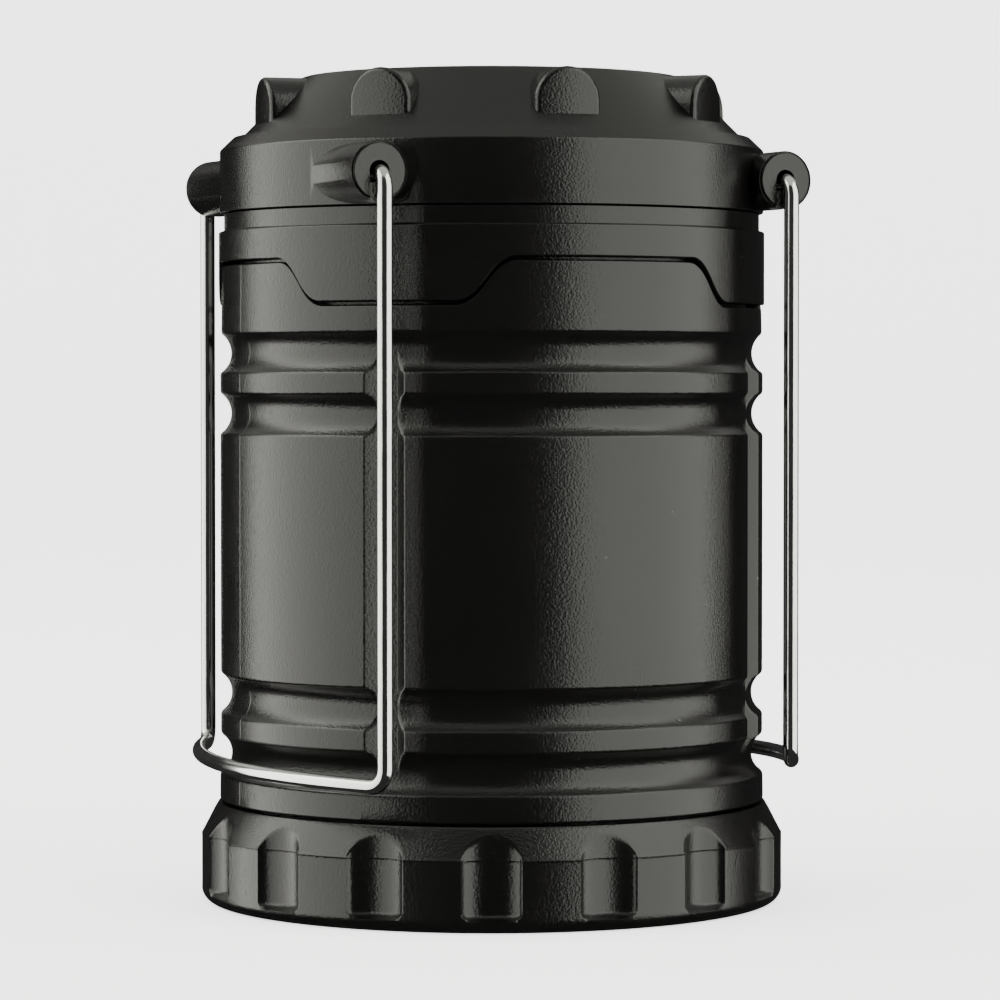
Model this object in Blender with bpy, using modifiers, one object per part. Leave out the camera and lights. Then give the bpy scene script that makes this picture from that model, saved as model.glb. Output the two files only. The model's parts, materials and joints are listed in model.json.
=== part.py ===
"""Collapsible camping lantern, closed, with its two wire bails hanging at the sides.

Units are metres and +Z is up. The origin is the centre of the base, on the ground.
The bails turn about axes that run along Y, and one bail hangs at each end of X.
"""
import math

import bmesh
import bpy
from mathutils import Matrix, Vector

MM = 0.001
SEGMENTS = 48
HOLE_SEGMENTS = 12
GROOVE_STEPS = 3
LUG_ARC_STEPS = 8
BEND_STEPS = 4
SKEW_POWER = 8
BOW_STEPS = 8
GAP = 0.35 * MM

# Base cap, screwed onto the foot of the body.
BASE_RADIUS = 43.0 * MM
BASE_EDGE_ROUND = 2.1 * MM
BASE_WALL_TOP = 10.2 * MM
BASE_TOP = 14.7 * MM
BASE_TOP_RADIUS = 40.4 * MM
BASE_FLOOR = 2.5 * MM
BASE_BORE_RADIUS = 37.75 * MM
SCOOP_COUNT = 16
SCOOP_RADIUS = 5.8 * MM
SCOOP_DEPTH = 1.8 * MM
SCOOP_FOOT = 1.3 * MM
SCOOP_OFFSET = math.radians(-2.5)

# Body shell.
BODY_BOTTOM = 15.05 * MM
COLLAR_RADIUS = 40.1 * MM
LAND_RADIUS = 39.9 * MM
UPPER_COLLAR_RADIUS = 39.75 * MM
GROOVE_FLOOR_RADIUS = 38.35 * MM
GROOVES = ((18.8 * MM, 24.8 * MM), (27.7 * MM, 33.7 * MM), (68.7 * MM, 74.7 * MM), (77.6 * MM, 83.4 * MM))
BODY_BORE_RADIUS = 36.6 * MM
NOTCH_BOTTOM = 26.0 * MM
NOTCH_TOP = 76.4 * MM
NOTCH_FLOOR_WIDTH = 2.9 * MM
NOTCH_MOUTH_WIDTH = 6.1 * MM
NOTCH_ANGLE = math.radians(47.0)
SPIGOT_OUTER_RADIUS = 37.1 * MM
SPIGOT_INNER_RADIUS = 35.2 * MM
SPIGOT_BOTTOM = 7.5 * MM
SEAL_GROOVE_RADIUS = 35.8 * MM
SEAL_GROOVE_BOTTOM = 12.0 * MM
SEAL_GROOVE_TOP = 14.1 * MM
SEAL_RING_RADIUS = 36.8 * MM
SEAL_RING_WIRE = 0.6 * MM
WEB_BOTTOM = 13.5 * MM
WEB_TOP = 15.9 * MM
WEB_BORE_RADIUS = 29.0 * MM

# Wavy parting line between the body and the head, which dips above each notch.
WAVE_HIGH = 93.5 * MM
WAVE_LOW = 87.3 * MM
WAVE_GAP = 0.7 * MM
WAVE_HALF_DIP = math.radians(16.4)
WAVE_SLOPE = math.radians(9.2)

# Head skirt and band.
SKIRT_RADIUS = 40.15 * MM
SKIRT_TOP = 98.2 * MM
SKIRT_BORE_RADIUS = 36.9 * MM
BAND_RADIUS = 39.4 * MM
BAND_TOP = 100.6 * MM
FLANGE_BOTTOM = 94.2 * MM
FLANGE_TOP = 98.0 * MM
FLANGE_BORE_RADIUS = 33.35 * MM

# Top cap.
CAP_BOTTOM = 101.0 * MM
CAP_RADIUS = 40.0 * MM
CAP_WALL_TOP = 110.1 * MM
CAP_LEDGE_RADIUS = 38.0 * MM
CAP_LEDGE = 112.0 * MM
CAP_CONE_FOOT_RADIUS = 37.05 * MM
CAP_FLAT_RADIUS = 28.1 * MM
CAP_TOP = 120.8 * MM
CAP_RECESS_RADIUS = 23.0 * MM
CAP_RECESS_DEPTH = 1.0 * MM
CAP_BORE_RADIUS = 37.2 * MM
CAP_CEILING = 110.5 * MM
CAP_CROWN_BORE_RADIUS = 27.3 * MM
CAP_CROWN_CEILING = 117.8 * MM
LUG_COUNT = 8
LUG_OFFSET = math.radians(-7.0)
LUG_FACE_RADIUS = 35.15 * MM
LUG_INNER_RADIUS = 27.8 * MM
LUG_HALF_WIDTH = 4.8 * MM
LUG_BOTTOM = 112.6 * MM
LUG_ARC_CENTRE = 115.6 * MM

# Bails and the bosses that they turn in.
PIVOT_X = 31.8 * MM
PIVOT_Z = 105.3 * MM
BOSS_RADIUS = 4.2 * MM
BOSS_FACE_Y = 31.7 * MM
BOSS_ROOT_Y = 16.0 * MM
BOSS_HOLE_RADIUS = 1.5 * MM
BOSS_HOLE_END_Y = 26.0 * MM
BOSS_SLOT_Y = 29.2 * MM
WIRE_RADIUS = 1.1 * MM
WIRE_END_Y = 26.6 * MM
LEG_Y = 33.6 * MM
BAIL_BEND_RADIUS = 2.5 * MM
CROSSBAR_Z = 21.0 * MM
CROSSBAR_BOW = 10.0 * MM
CROSSBAR_SKEW = 0.65 * MM

# Clear lens tube, its stop ring and the ring that guides it.
LENS_OUTER_RADIUS = 33.0 * MM
LENS_INNER_RADIUS = 31.4 * MM
LENS_BOTTOM = 17.0 * MM
LENS_TOP = 100.6 * MM
STOP_RING_RADIUS = 36.0 * MM
STOP_RING_TOP = 20.5 * MM
GUIDE_BOTTOM = 82.0 * MM
GUIDE_TOP = 86.4 * MM
GUIDE_INNER_RADIUS = 33.4 * MM
GUIDE_OUTER_RADIUS = 36.25 * MM
FRICTION_GROOVE_RADIUS = 35.2 * MM
FRICTION_RING_RADIUS = 34.15 * MM
FRICTION_RING_WIRE = 0.7 * MM
FRICTION_GROOVE_BOTTOM = 83.2 * MM
FRICTION_GROOVE_TOP = 85.3 * MM

# Battery holder, cells and their contacts.
CELL_COUNT = 3
CELL_PITCH_RADIUS = 18.2 * MM
CELL_RADIUS = 7.1 * MM
CELL_BOTTOM = 9.5 * MM
CELL_SHOULDER = 58.9 * MM
CELL_TOP = 60.0 * MM
CELL_BUTTON_RADIUS = 2.75 * MM
CELL_FIRST_ANGLE = math.radians(90.0)
HOLDER_RADIUS = 28.5 * MM
HOLDER_BOTTOM = 8.0 * MM
HOLDER_TOP = 62.5 * MM
HOLDER_FLANGE_RADIUS = 33.2 * MM
HOLDER_FLANGE_BOTTOM = 10.8 * MM
HOLDER_FLANGE_TOP = 13.2 * MM
CELL_BORE_RADIUS = 7.5 * MM
CELL_BORE_TOP = 61.0 * MM
SHAFT_INRADIUS = 8.0 * MM
SHAFT_FLOOR = 28.0 * MM
CONTACT_PLATE_RADIUS = 5.0 * MM
CONTACT_PLATE_BOTTOM = 60.3 * MM
CONTACT_PLATE_TOP = 60.7 * MM
CONTACT_DISC_RADIUS = 34.2 * MM
CONTACT_DISC_BOTTOM = 3.2 * MM
CONTACT_DISC_TOP = 5.0 * MM
SPRING_WIRE = 0.35 * MM
SPRING_FOOT_RADIUS = 4.6 * MM
SPRING_TIP_RADIUS = 2.8 * MM
SPRING_TURNS = 3
SPRING_POINTS_PER_TURN = 10

# Lower and upper reflectors and the light column.
DISH_HOLE_RADIUS = 12.6 * MM
DISH_FLAT_RADIUS = 23.6 * MM
DISH_RIM_RADIUS = 30.8 * MM
DISH_BOTTOM = 62.85 * MM
DISH_RIM_Z = 80.0 * MM
DISH_THICKNESS = 0.9 * MM
REFLECTOR_RADIUS = 31.0 * MM
REFLECTOR_BOTTOM = 99.3 * MM
REFLECTOR_TOP = 100.3 * MM
POST_INRADIUS = 5.2 * MM
POST_BORE_INRADIUS = 4.1 * MM
POST_BOTTOM = 30.0 * MM
POST_TOP = 99.0 * MM
BOARD_INNER = 5.5 * MM
BOARD_OUTER = 6.5 * MM
BOARD_HALF_WIDTH = 7.0 * MM
BOARD_BOTTOM = 34.0 * MM
BOARD_TOP = 98.0 * MM
LED_SIZE = 3.0 * MM
LED_HEIGHT = 0.8 * MM
LED_SUNK = 0.3 * MM
LEDS_PER_BOARD = 10
ROD_X = 2.2 * MM
ROD_RADIUS = 0.8 * MM
ROD_TOP = 97.0 * MM
SLEEVE_INNER_RADIUS = 1.12 * MM
SLEEVE_OUTER_RADIUS = 1.6 * MM
SLEEVE_BOTTOM = 33.3 * MM
SLEEVE_TOP = 37.0 * MM
DRIVER_RADIUS = 29.5 * MM
DRIVER_BOTTOM = 101.6 * MM
DRIVER_TOP = 103.0 * MM
COMPONENT_SUNK = 0.4 * MM
COIL = ((-9.0 * MM, -7.0 * MM), (10.0 * MM, 10.0 * MM, 4.5 * MM))
CHIP = ((8.0 * MM, 0.0), (6.0 * MM, 8.0 * MM, 1.6 * MM))
CAPACITOR_PLACES = ((-9.0 * MM, 10.0 * MM), (2.0 * MM, 13.0 * MM))
CAPACITOR_RADIUS = 3.2 * MM
CAPACITOR_HEIGHT = 7.0 * MM

# Screws.
SCREW_SHANK_RADIUS = 1.0 * MM
SCREW_HOLE_RADIUS = 1.35 * MM
CAP_SCREW_RADIUS = 35.0 * MM
CAP_POST_RADIUS = 3.0 * MM
HOLDER_SCREW_RADIUS = 31.0 * MM
DISH_SCREW_RADIUS = 20.4 * MM
CAP_SCREW_HEAD = (1.5 * MM, 92.5 * MM, 93.85 * MM)
CAP_SCREW_TIP = 107.5 * MM
CAP_SCREW_HOLE_END = 108.5 * MM
HOLDER_SCREW_HEAD = (2.0 * MM, 9.1 * MM, 10.45 * MM)
HOLDER_SCREW_TIP = 15.5 * MM
DISH_SCREW_HEAD = (2.1 * MM, 64.1 * MM, 65.3 * MM)
DISH_SCREW_TIP = 56.0 * MM
DISH_SCREW_HOLE_END = 55.0 * MM

LANTERN = "camping_lantern"
CUTTERS = "cutters"


def clear_scene():
    for item in list(bpy.data.objects):
        bpy.data.objects.remove(item, do_unlink=True)


def make_collection(name):
    group = bpy.data.collections.get(name)
    if group is None:
        group = bpy.data.collections.new(name)
        bpy.context.scene.collection.children.link(group)
    return group


def make_material(name, colour, roughness, metallic=0.0, transmission=0.0):
    material = bpy.data.materials.new(name)
    material.use_nodes = True
    shader = material.node_tree.nodes["Principled BSDF"]
    shader.inputs["Base Color"].default_value = (*colour, 1.0)
    shader.inputs["Roughness"].default_value = roughness
    shader.inputs["Metallic"].default_value = metallic
    shader.inputs["Transmission Weight"].default_value = transmission
    material.diffuse_color = (*colour, 1.0)
    return material


def link(item, group_name):
    make_collection(group_name).objects.link(item)
    if group_name == CUTTERS:
        item.hide_render = True
        item.display_type = "WIRE"
    return item


def finish(item, material, group_name=LANTERN):
    item.data.materials.append(material)
    return link(item, group_name)


def mesh_object(name, form):
    mesh = bpy.data.meshes.new(name)
    form.to_mesh(mesh)
    form.free()
    return bpy.data.objects.new(name, mesh)


def turned(name, profile, material=None, group_name=LANTERN, closed=False, segments=SEGMENTS):
    """A Screw profile of (radius, height) points that runs down the outer side."""
    form = bmesh.new()
    points = [form.verts.new((radius, 0.0, height)) for radius, height in profile]
    for first, second in zip(points, points[1:]):
        form.edges.new((first, second))
    if closed:
        form.edges.new((points[-1], points[0]))
    item = mesh_object(name, form)
    screw = item.modifiers.new("Screw", "SCREW")
    screw.angle = 2.0 * math.pi
    screw.axis = "Z"
    screw.steps = segments
    screw.render_steps = segments
    screw.use_merge_vertices = True
    screw.merge_threshold = 0.00001
    screw.use_smooth_shade = True
    if material:
        item.data.materials.append(material)
    return link(item, group_name)


def applied(item):
    """Turns an object's modifiers into its mesh."""
    view = bpy.context.evaluated_depsgraph_get()
    evaluated = item.evaluated_get(view)
    mesh = bpy.data.meshes.new_from_object(evaluated, depsgraph=view)
    item.modifiers.clear()
    item.data = mesh
    return item


def smooth_round_sides(item):
    """Shades a finished piece smooth, with its corners left sharp."""
    applied(item)
    item.data.shade_smooth()
    item.data.set_sharp_from_angle(angle=math.radians(35.0))


def boolean(item, cutter, operation="DIFFERENCE"):
    modifier = item.modifiers.new(cutter.name, "BOOLEAN")
    modifier.operation = operation
    modifier.solver = "EXACT"
    modifier.object = cutter
    return item


def cylinder_between(form, start, end, radius, segments=24):
    """Adds a capped cylinder from one point to another."""
    start = Vector(start)
    axis = Vector(end) - start
    turn = axis.to_track_quat("Z", "Y").to_matrix().to_4x4()
    place = Matrix.Translation(start + axis / 2.0) @ turn
    bmesh.ops.create_cone(
        form,
        cap_ends=True,
        segments=segments,
        radius1=radius,
        radius2=radius,
        depth=axis.length,
        matrix=place,
    )


def box_between(form, low, high):
    low = Vector(low)
    high = Vector(high)
    size = high - low
    place = Matrix.Translation((low + high) / 2.0) @ Matrix.Diagonal((*size, 1.0))
    bmesh.ops.create_cube(form, size=1.0, matrix=place)


def prism(form, outline, bottom, top):
    """Adds an upright prism over an anticlockwise outline of (x, y) points."""
    floor = form.faces.new([form.verts.new((x, y, bottom)) for x, y in outline])
    raised = bmesh.ops.extrude_face_region(form, geom=[floor])
    corners = [part for part in raised["geom"] if isinstance(part, bmesh.types.BMVert)]
    bmesh.ops.translate(form, verts=corners, vec=(0.0, 0.0, top - bottom))
    bmesh.ops.recalc_face_normals(form, faces=form.faces[:])


def direction(angle):
    """Unit vector at an angle measured from -Y towards +X."""
    return Vector((math.sin(angle), -math.cos(angle), 0.0))


def polar(radius, angle, height=0.0):
    return Vector((radius * math.cos(angle), radius * math.sin(angle), height))


def triangle(inradius):
    """Corners of the light column's section, whose flats face the cells."""
    step = 2.0 * math.pi / 3.0
    first = CELL_FIRST_ANGLE + step / 2.0
    return [tuple(polar(2.0 * inradius, first + step * corner).to_2d()) for corner in range(3)]


def wave_height(angle):
    """Height of the parting line: four crests on the axes and a dip above each notch."""
    off_y_axis = math.atan2(abs(math.cos(angle)), abs(math.sin(angle)))
    away = abs(off_y_axis - NOTCH_ANGLE)
    rise = min(max((away - WAVE_HALF_DIP) / WAVE_SLOPE, 0.0), 1.0)
    return WAVE_LOW + (WAVE_HIGH - WAVE_LOW) * rise


def shape_wave_edge(item, level, offset):
    """Moves the ring of points at one level onto the parting line."""
    applied(item)
    for point in item.data.vertices:
        if abs(point.co.z - level) < 0.01 * MM:
            point.co.z = wave_height(math.atan2(point.co.y, point.co.x)) + offset
    return item


def arc(centre_r, centre_z, radius, start, end, steps):
    """Points on a circular arc in the (radius, height) plane, angles in degrees."""
    points = []
    for step in range(steps + 1):
        angle = math.radians(start + (end - start) * step / steps)
        points.append((centre_r + radius * math.cos(angle), centre_z + radius * math.sin(angle)))
    return points


def groove_profile(bottom, top, rim_radius):
    """A scooped groove from its top edge down to its bottom edge."""
    half = (top - bottom) / 2.0
    depth = rim_radius - GROOVE_FLOOR_RADIUS
    radius = (half * half + depth * depth) / (2.0 * depth)
    centre_r = GROOVE_FLOOR_RADIUS + radius
    spread = math.degrees(math.asin(half / radius))
    return arc(centre_r, (top + bottom) / 2.0, radius, 180.0 - spread, 180.0 + spread, GROOVE_STEPS)


def make_body_shell(plastic):
    collar_groove, lower_groove, upper_groove, top_groove = GROOVES
    profile = [(UPPER_COLLAR_RADIUS, WAVE_HIGH)]
    profile += groove_profile(*top_groove, UPPER_COLLAR_RADIUS)
    profile += groove_profile(*upper_groove, LAND_RADIUS)
    profile += groove_profile(*lower_groove, LAND_RADIUS)
    profile += groove_profile(*collar_groove, COLLAR_RADIUS)
    profile += [
        (COLLAR_RADIUS, BODY_BOTTOM),
        (SPIGOT_OUTER_RADIUS, BODY_BOTTOM),
        (SPIGOT_OUTER_RADIUS, SEAL_GROOVE_TOP),
        (SEAL_GROOVE_RADIUS, SEAL_GROOVE_TOP),
        (SEAL_GROOVE_RADIUS, SEAL_GROOVE_BOTTOM),
        (SPIGOT_OUTER_RADIUS, SEAL_GROOVE_BOTTOM),
        (SPIGOT_OUTER_RADIUS, SPIGOT_BOTTOM),
        (SPIGOT_INNER_RADIUS, SPIGOT_BOTTOM),
        (SPIGOT_INNER_RADIUS, WEB_BOTTOM),
        (WEB_BORE_RADIUS, WEB_BOTTOM),
        (WEB_BORE_RADIUS, WEB_TOP),
        (BODY_BORE_RADIUS, WEB_TOP),
        (BODY_BORE_RADIUS, WAVE_HIGH),
    ]
    shell = turned("body_shell", profile, plastic, closed=True)
    shape_wave_edge(shell, WAVE_HIGH, -WAVE_GAP / 2.0)
    boolean(shell, make_notch_cutter())
    web_span = (WEB_BOTTOM - MM, WEB_TOP + MM)
    boolean(shell, make_screw_hole_cutter("web_hole_cutter", HOLDER_SCREW_RADIUS, *web_span))
    return shell


def diagonal_angles():
    return [math.radians(45.0 + 90.0 * quarter) for quarter in range(4)]


def make_notch_cutter():
    """Four upright chamfered notches, two on each side of the Y axis at each end."""
    form = bmesh.new()
    outer = LAND_RADIUS + MM
    depth = LAND_RADIUS - GROOVE_FLOOR_RADIUS
    flare = (NOTCH_MOUTH_WIDTH - NOTCH_FLOOR_WIDTH) / 2.0 * (outer - GROOVE_FLOOR_RADIUS) / depth
    half_floor = NOTCH_FLOOR_WIDTH / 2.0
    for angle in (NOTCH_ANGLE, math.pi - NOTCH_ANGLE, math.pi + NOTCH_ANGLE, -NOTCH_ANGLE):
        across = Vector((math.cos(angle), math.sin(angle), 0.0))
        inner_point = direction(angle) * GROOVE_FLOOR_RADIUS
        outer_point = direction(angle) * outer
        corners = (
            inner_point - across * half_floor,
            outer_point - across * (half_floor + flare),
            outer_point + across * (half_floor + flare),
            inner_point + across * half_floor,
        )
        prism(form, [tuple(corner.to_2d()) for corner in corners], NOTCH_BOTTOM, NOTCH_TOP)
    return link(mesh_object("notch_cutter", form), CUTTERS)


def make_screw_hole_cutter(name, radius, bottom, top):
    """Three upright holes between the cells."""
    form = bmesh.new()
    for angle in screw_angles():
        low = polar(radius, angle, bottom)
        high = polar(radius, angle, top)
        cylinder_between(form, low, high, SCREW_HOLE_RADIUS, HOLE_SEGMENTS)
    return link(mesh_object(name, form), CUTTERS)


def cell_angles():
    return [CELL_FIRST_ANGLE + 2.0 * math.pi * cell / CELL_COUNT for cell in range(CELL_COUNT)]


def screw_angles():
    return [angle + math.pi / CELL_COUNT for angle in cell_angles()]


def make_base_cap(plastic):
    edge = BASE_RADIUS - BASE_EDGE_ROUND
    profile = [(BASE_TOP_RADIUS, BASE_TOP), (BASE_RADIUS, BASE_WALL_TOP)]
    profile += arc(edge, BASE_EDGE_ROUND, BASE_EDGE_ROUND, 0.0, -90.0, 4)
    profile += [
        (0.0, 0.0),
        (0.0, BASE_FLOOR),
        (BASE_BORE_RADIUS, BASE_FLOOR),
        (BASE_BORE_RADIUS, BASE_TOP),
    ]
    cap = turned("base_cap", close_on_axis(profile), plastic)
    form = bmesh.new()
    for scoop in range(SCOOP_COUNT):
        angle = SCOOP_OFFSET + 2.0 * math.pi * scoop / SCOOP_COUNT
        axis = direction(angle) * (BASE_RADIUS - SCOOP_DEPTH + SCOOP_RADIUS)
        foot = axis + Vector((0.0, 0.0, SCOOP_FOOT))
        head = axis + Vector((0.0, 0.0, BASE_TOP + MM))
        cylinder_between(form, foot, head, SCOOP_RADIUS, 24)
    boolean(cap, link(mesh_object("scoop_cutter", form), CUTTERS))
    return cap


def close_on_axis(profile):
    """Starts a hollow cup's profile at the axis inside its floor and ends it at the axis outside."""
    inner_start = profile.index((0.0, 0.0)) + 1
    return profile[inner_start:] + profile[:inner_start]


def make_head_skirt(plastic):
    profile = [
        (BAND_RADIUS, BAND_TOP),
        (BAND_RADIUS, SKIRT_TOP),
        (SKIRT_RADIUS, SKIRT_TOP),
        (SKIRT_RADIUS, WAVE_LOW),
        (SKIRT_BORE_RADIUS, WAVE_LOW),
        (SKIRT_BORE_RADIUS, FLANGE_BOTTOM),
        (FLANGE_BORE_RADIUS, FLANGE_BOTTOM),
        (FLANGE_BORE_RADIUS, FLANGE_TOP),
        (SKIRT_BORE_RADIUS, FLANGE_TOP),
        (SKIRT_BORE_RADIUS, BAND_TOP),
    ]
    skirt = turned("head_skirt", profile, plastic, closed=True)
    shape_wave_edge(skirt, WAVE_LOW, WAVE_GAP / 2.0)
    form = bmesh.new()
    for place in cap_screw_places():
        low = (*place, FLANGE_BOTTOM - MM)
        high = (*place, FLANGE_TOP + MM)
        cylinder_between(form, low, high, SCREW_HOLE_RADIUS, HOLE_SEGMENTS)
    boolean(skirt, link(mesh_object("skirt_hole_cutter", form), CUTTERS))
    return skirt


def cap_screw_places():
    return [tuple(polar(CAP_SCREW_RADIUS, angle).to_2d()) for angle in diagonal_angles()]


def make_top_cap(plastic):
    profile = [
        (0.0, CAP_TOP - CAP_RECESS_DEPTH),
        (CAP_RECESS_RADIUS, CAP_TOP - CAP_RECESS_DEPTH),
        (CAP_RECESS_RADIUS, CAP_TOP),
        (CAP_FLAT_RADIUS, CAP_TOP),
        (CAP_CONE_FOOT_RADIUS, CAP_LEDGE),
        (CAP_LEDGE_RADIUS, CAP_LEDGE),
        (CAP_RADIUS, CAP_WALL_TOP),
        (CAP_RADIUS, CAP_BOTTOM),
        (0.0, CAP_BOTTOM),
    ]
    cap = turned("top_cap", profile, plastic)
    boolean(cap, make_lugs_and_bosses(), "UNION")
    boolean(cap, make_cap_cavity())
    boolean(cap, make_screw_posts(), "UNION")
    boolean(cap, make_pivot_holes())
    boolean(cap, make_bail_slots())
    return cap


def lug_outline():
    """Half-round lug outline as (sideways, height) points, anticlockwise."""
    points = [(LUG_HALF_WIDTH, LUG_BOTTOM)]
    points += arc(0.0, LUG_ARC_CENTRE, LUG_HALF_WIDTH, 0.0, 180.0, LUG_ARC_STEPS)
    points.append((-LUG_HALF_WIDTH, LUG_BOTTOM))
    return points


def make_lugs_and_bosses():
    form = bmesh.new()
    for lug in range(LUG_COUNT):
        angle = LUG_OFFSET + 2.0 * math.pi * lug / LUG_COUNT
        outward = direction(angle)
        across = Vector((math.cos(angle), math.sin(angle), 0.0))
        rim = []
        for sideways, height in lug_outline():
            corner = outward * LUG_FACE_RADIUS + across * sideways
            corner.z = height
            rim.append(form.verts.new(corner))
        face = form.faces.new(rim)
        raised = bmesh.ops.extrude_face_region(form, geom=[face])
        corners = [part for part in raised["geom"] if isinstance(part, bmesh.types.BMVert)]
        bmesh.ops.translate(form, verts=corners, vec=outward * (LUG_INNER_RADIUS - LUG_FACE_RADIUS))
    for side_x in (-1.0, 1.0):
        for side_y in (-1.0, 1.0):
            root = (side_x * PIVOT_X, side_y * BOSS_ROOT_Y, PIVOT_Z)
            face = (side_x * PIVOT_X, side_y * BOSS_FACE_Y, PIVOT_Z)
            cylinder_between(form, root, face, BOSS_RADIUS, 24)
    bmesh.ops.recalc_face_normals(form, faces=form.faces[:])
    return link(mesh_object("lugs_and_bosses", form), CUTTERS)


def make_cap_cavity():
    profile = [
        (0.0, CAP_CROWN_CEILING),
        (CAP_CROWN_BORE_RADIUS, CAP_CROWN_CEILING),
        (CAP_CROWN_BORE_RADIUS, CAP_CEILING),
        (CAP_BORE_RADIUS, CAP_CEILING),
        (CAP_BORE_RADIUS, CAP_BOTTOM - MM),
        (0.0, CAP_BOTTOM - MM),
    ]
    return turned("cap_cavity_cutter", profile, group_name=CUTTERS)


def make_screw_posts():
    form = bmesh.new()
    for place in cap_screw_places():
        low = (*place, CAP_BOTTOM + GAP)
        high = (*place, CAP_CEILING + MM)
        cylinder_between(form, low, high, CAP_POST_RADIUS, 16)
    return link(mesh_object("cap_screw_posts", form), CUTTERS)


def make_pivot_holes():
    form = bmesh.new()
    for side_x in (-1.0, 1.0):
        for side_y in (-1.0, 1.0):
            inner = (side_x * PIVOT_X, side_y * BOSS_HOLE_END_Y, PIVOT_Z)
            outer = (side_x * PIVOT_X, side_y * (BOSS_FACE_Y + MM), PIVOT_Z)
            cylinder_between(form, inner, outer, BOSS_HOLE_RADIUS, 16)
    for place in cap_screw_places():
        low = (*place, CAP_BOTTOM - MM)
        high = (*place, CAP_SCREW_HOLE_END)
        cylinder_between(form, low, high, SCREW_HOLE_RADIUS, HOLE_SEGMENTS)
    return link(mesh_object("pivot_hole_cutter", form), CUTTERS)


def make_bail_slots():
    form = bmesh.new()
    for side_x in (-1.0, 1.0):
        for side_y in (-1.0, 1.0):
            near = side_y * BOSS_SLOT_Y
            far = side_y * (BOSS_FACE_Y + MM)
            low = (side_x * PIVOT_X - BOSS_HOLE_RADIUS, min(near, far), PIVOT_Z - BOSS_RADIUS - MM)
            high = (side_x * PIVOT_X + BOSS_HOLE_RADIUS, max(near, far), PIVOT_Z)
            box_between(form, low, high)
    return link(mesh_object("bail_slot_cutter", form), CUTTERS)


def bail_half_route():
    """Centre line from one wire end to the middle of the crossbar, relative to the pivot.

    The second number is along the pivot axis, the first points away from the body.
    """
    points = [Vector((0.0, -WIRE_END_Y, 0.0))]
    bend_y = LEG_Y - BAIL_BEND_RADIUS
    for step in range(BEND_STEPS + 1):
        angle = math.pi / 2.0 * step / BEND_STEPS
        out = bend_y + BAIL_BEND_RADIUS * math.sin(angle)
        down = BAIL_BEND_RADIUS * (1.0 - math.cos(angle))
        points.append(Vector((0.0, -out, -down)))
    drop = CROSSBAR_Z - PIVOT_Z
    points.append(Vector((0.0, -LEG_Y, drop / 2.0)))
    bow_radius = (LEG_Y * LEG_Y + CROSSBAR_BOW * CROSSBAR_BOW) / (2.0 * CROSSBAR_BOW)
    spread = math.asin(LEG_Y / bow_radius)
    start_angle = spread - BAIL_BEND_RADIUS / bow_radius
    end_x = bow_radius * (math.cos(start_angle) - 1.0) + CROSSBAR_BOW
    end_y = -bow_radius * math.sin(start_angle)
    corner = Vector((0.0, -LEG_Y, drop))
    before = Vector((0.0, -LEG_Y, drop + BAIL_BEND_RADIUS))
    after = Vector((end_x, end_y, drop))
    for step in range(BEND_STEPS + 1):
        share = step / BEND_STEPS
        near = before.lerp(corner, share)
        far = corner.lerp(after, share)
        points.append(near.lerp(far, share))
    for step in range(1, BOW_STEPS + 1):
        angle = start_angle * (1.0 - step / BOW_STEPS)
        x = bow_radius * (math.cos(angle) - 1.0) + CROSSBAR_BOW
        points.append(Vector((x, -bow_radius * math.sin(angle), drop)))
    return points


def make_bail(name, side, chrome):
    half = bail_half_route()
    other = [Vector((point.x, -point.y, point.z)) for point in reversed(half[:-1])]
    route = [Vector((side * point.x, point.y, point.z)) for point in half + other]
    drop = CROSSBAR_Z - PIVOT_Z
    for point in route:
        point.z -= side * CROSSBAR_SKEW * point.y / LEG_Y * min(point.z / drop, 1.0) ** SKEW_POWER
    curve = bpy.data.curves.new(name, "CURVE")
    curve.dimensions = "3D"
    curve.bevel_depth = WIRE_RADIUS
    curve.bevel_resolution = 2
    curve.use_fill_caps = True
    spline = curve.splines.new("POLY")
    spline.points.add(len(route) - 1)
    for target, point in zip(spline.points, route):
        target.co = (*point, 1.0)
    wire = bpy.data.objects.new(name, curve)
    wire.location = (side * PIVOT_X, 0.0, PIVOT_Z)
    return finish(wire, chrome)


def make_lens_tube(clear):
    profile = [
        (LENS_OUTER_RADIUS, LENS_TOP),
        (LENS_OUTER_RADIUS, LENS_BOTTOM),
        (LENS_INNER_RADIUS, LENS_BOTTOM),
        (LENS_INNER_RADIUS, LENS_TOP),
    ]
    return turned("lens_tube", profile, clear, closed=True, segments=48)


def ring(name, material, inner, outer, bottom, top, segments=48):
    profile = [(outer, top), (outer, bottom), (inner, bottom), (inner, top)]
    return turned(name, profile, material, closed=True, segments=segments)


def disc(name, material, radius, bottom, top, segments=48):
    profile = [(0.0, top), (radius, top), (radius, bottom), (0.0, bottom)]
    return turned(name, profile, material, segments=segments)


def make_guide_ring(plastic):
    profile = [
        (GUIDE_OUTER_RADIUS, GUIDE_TOP),
        (GUIDE_OUTER_RADIUS, GUIDE_BOTTOM),
        (GUIDE_INNER_RADIUS, GUIDE_BOTTOM),
        (GUIDE_INNER_RADIUS, FRICTION_GROOVE_BOTTOM),
        (FRICTION_GROOVE_RADIUS, FRICTION_GROOVE_BOTTOM),
        (FRICTION_GROOVE_RADIUS, FRICTION_GROOVE_TOP),
        (GUIDE_INNER_RADIUS, FRICTION_GROOVE_TOP),
        (GUIDE_INNER_RADIUS, GUIDE_TOP),
    ]
    return turned("guide_ring", profile, plastic, closed=True, segments=48)


def rubber_ring(name, rubber, radius, height, wire):
    profile = arc(radius, height, wire, 60.0, -240.0, 5)
    return turned(name, profile, rubber, closed=True, segments=32)


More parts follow.
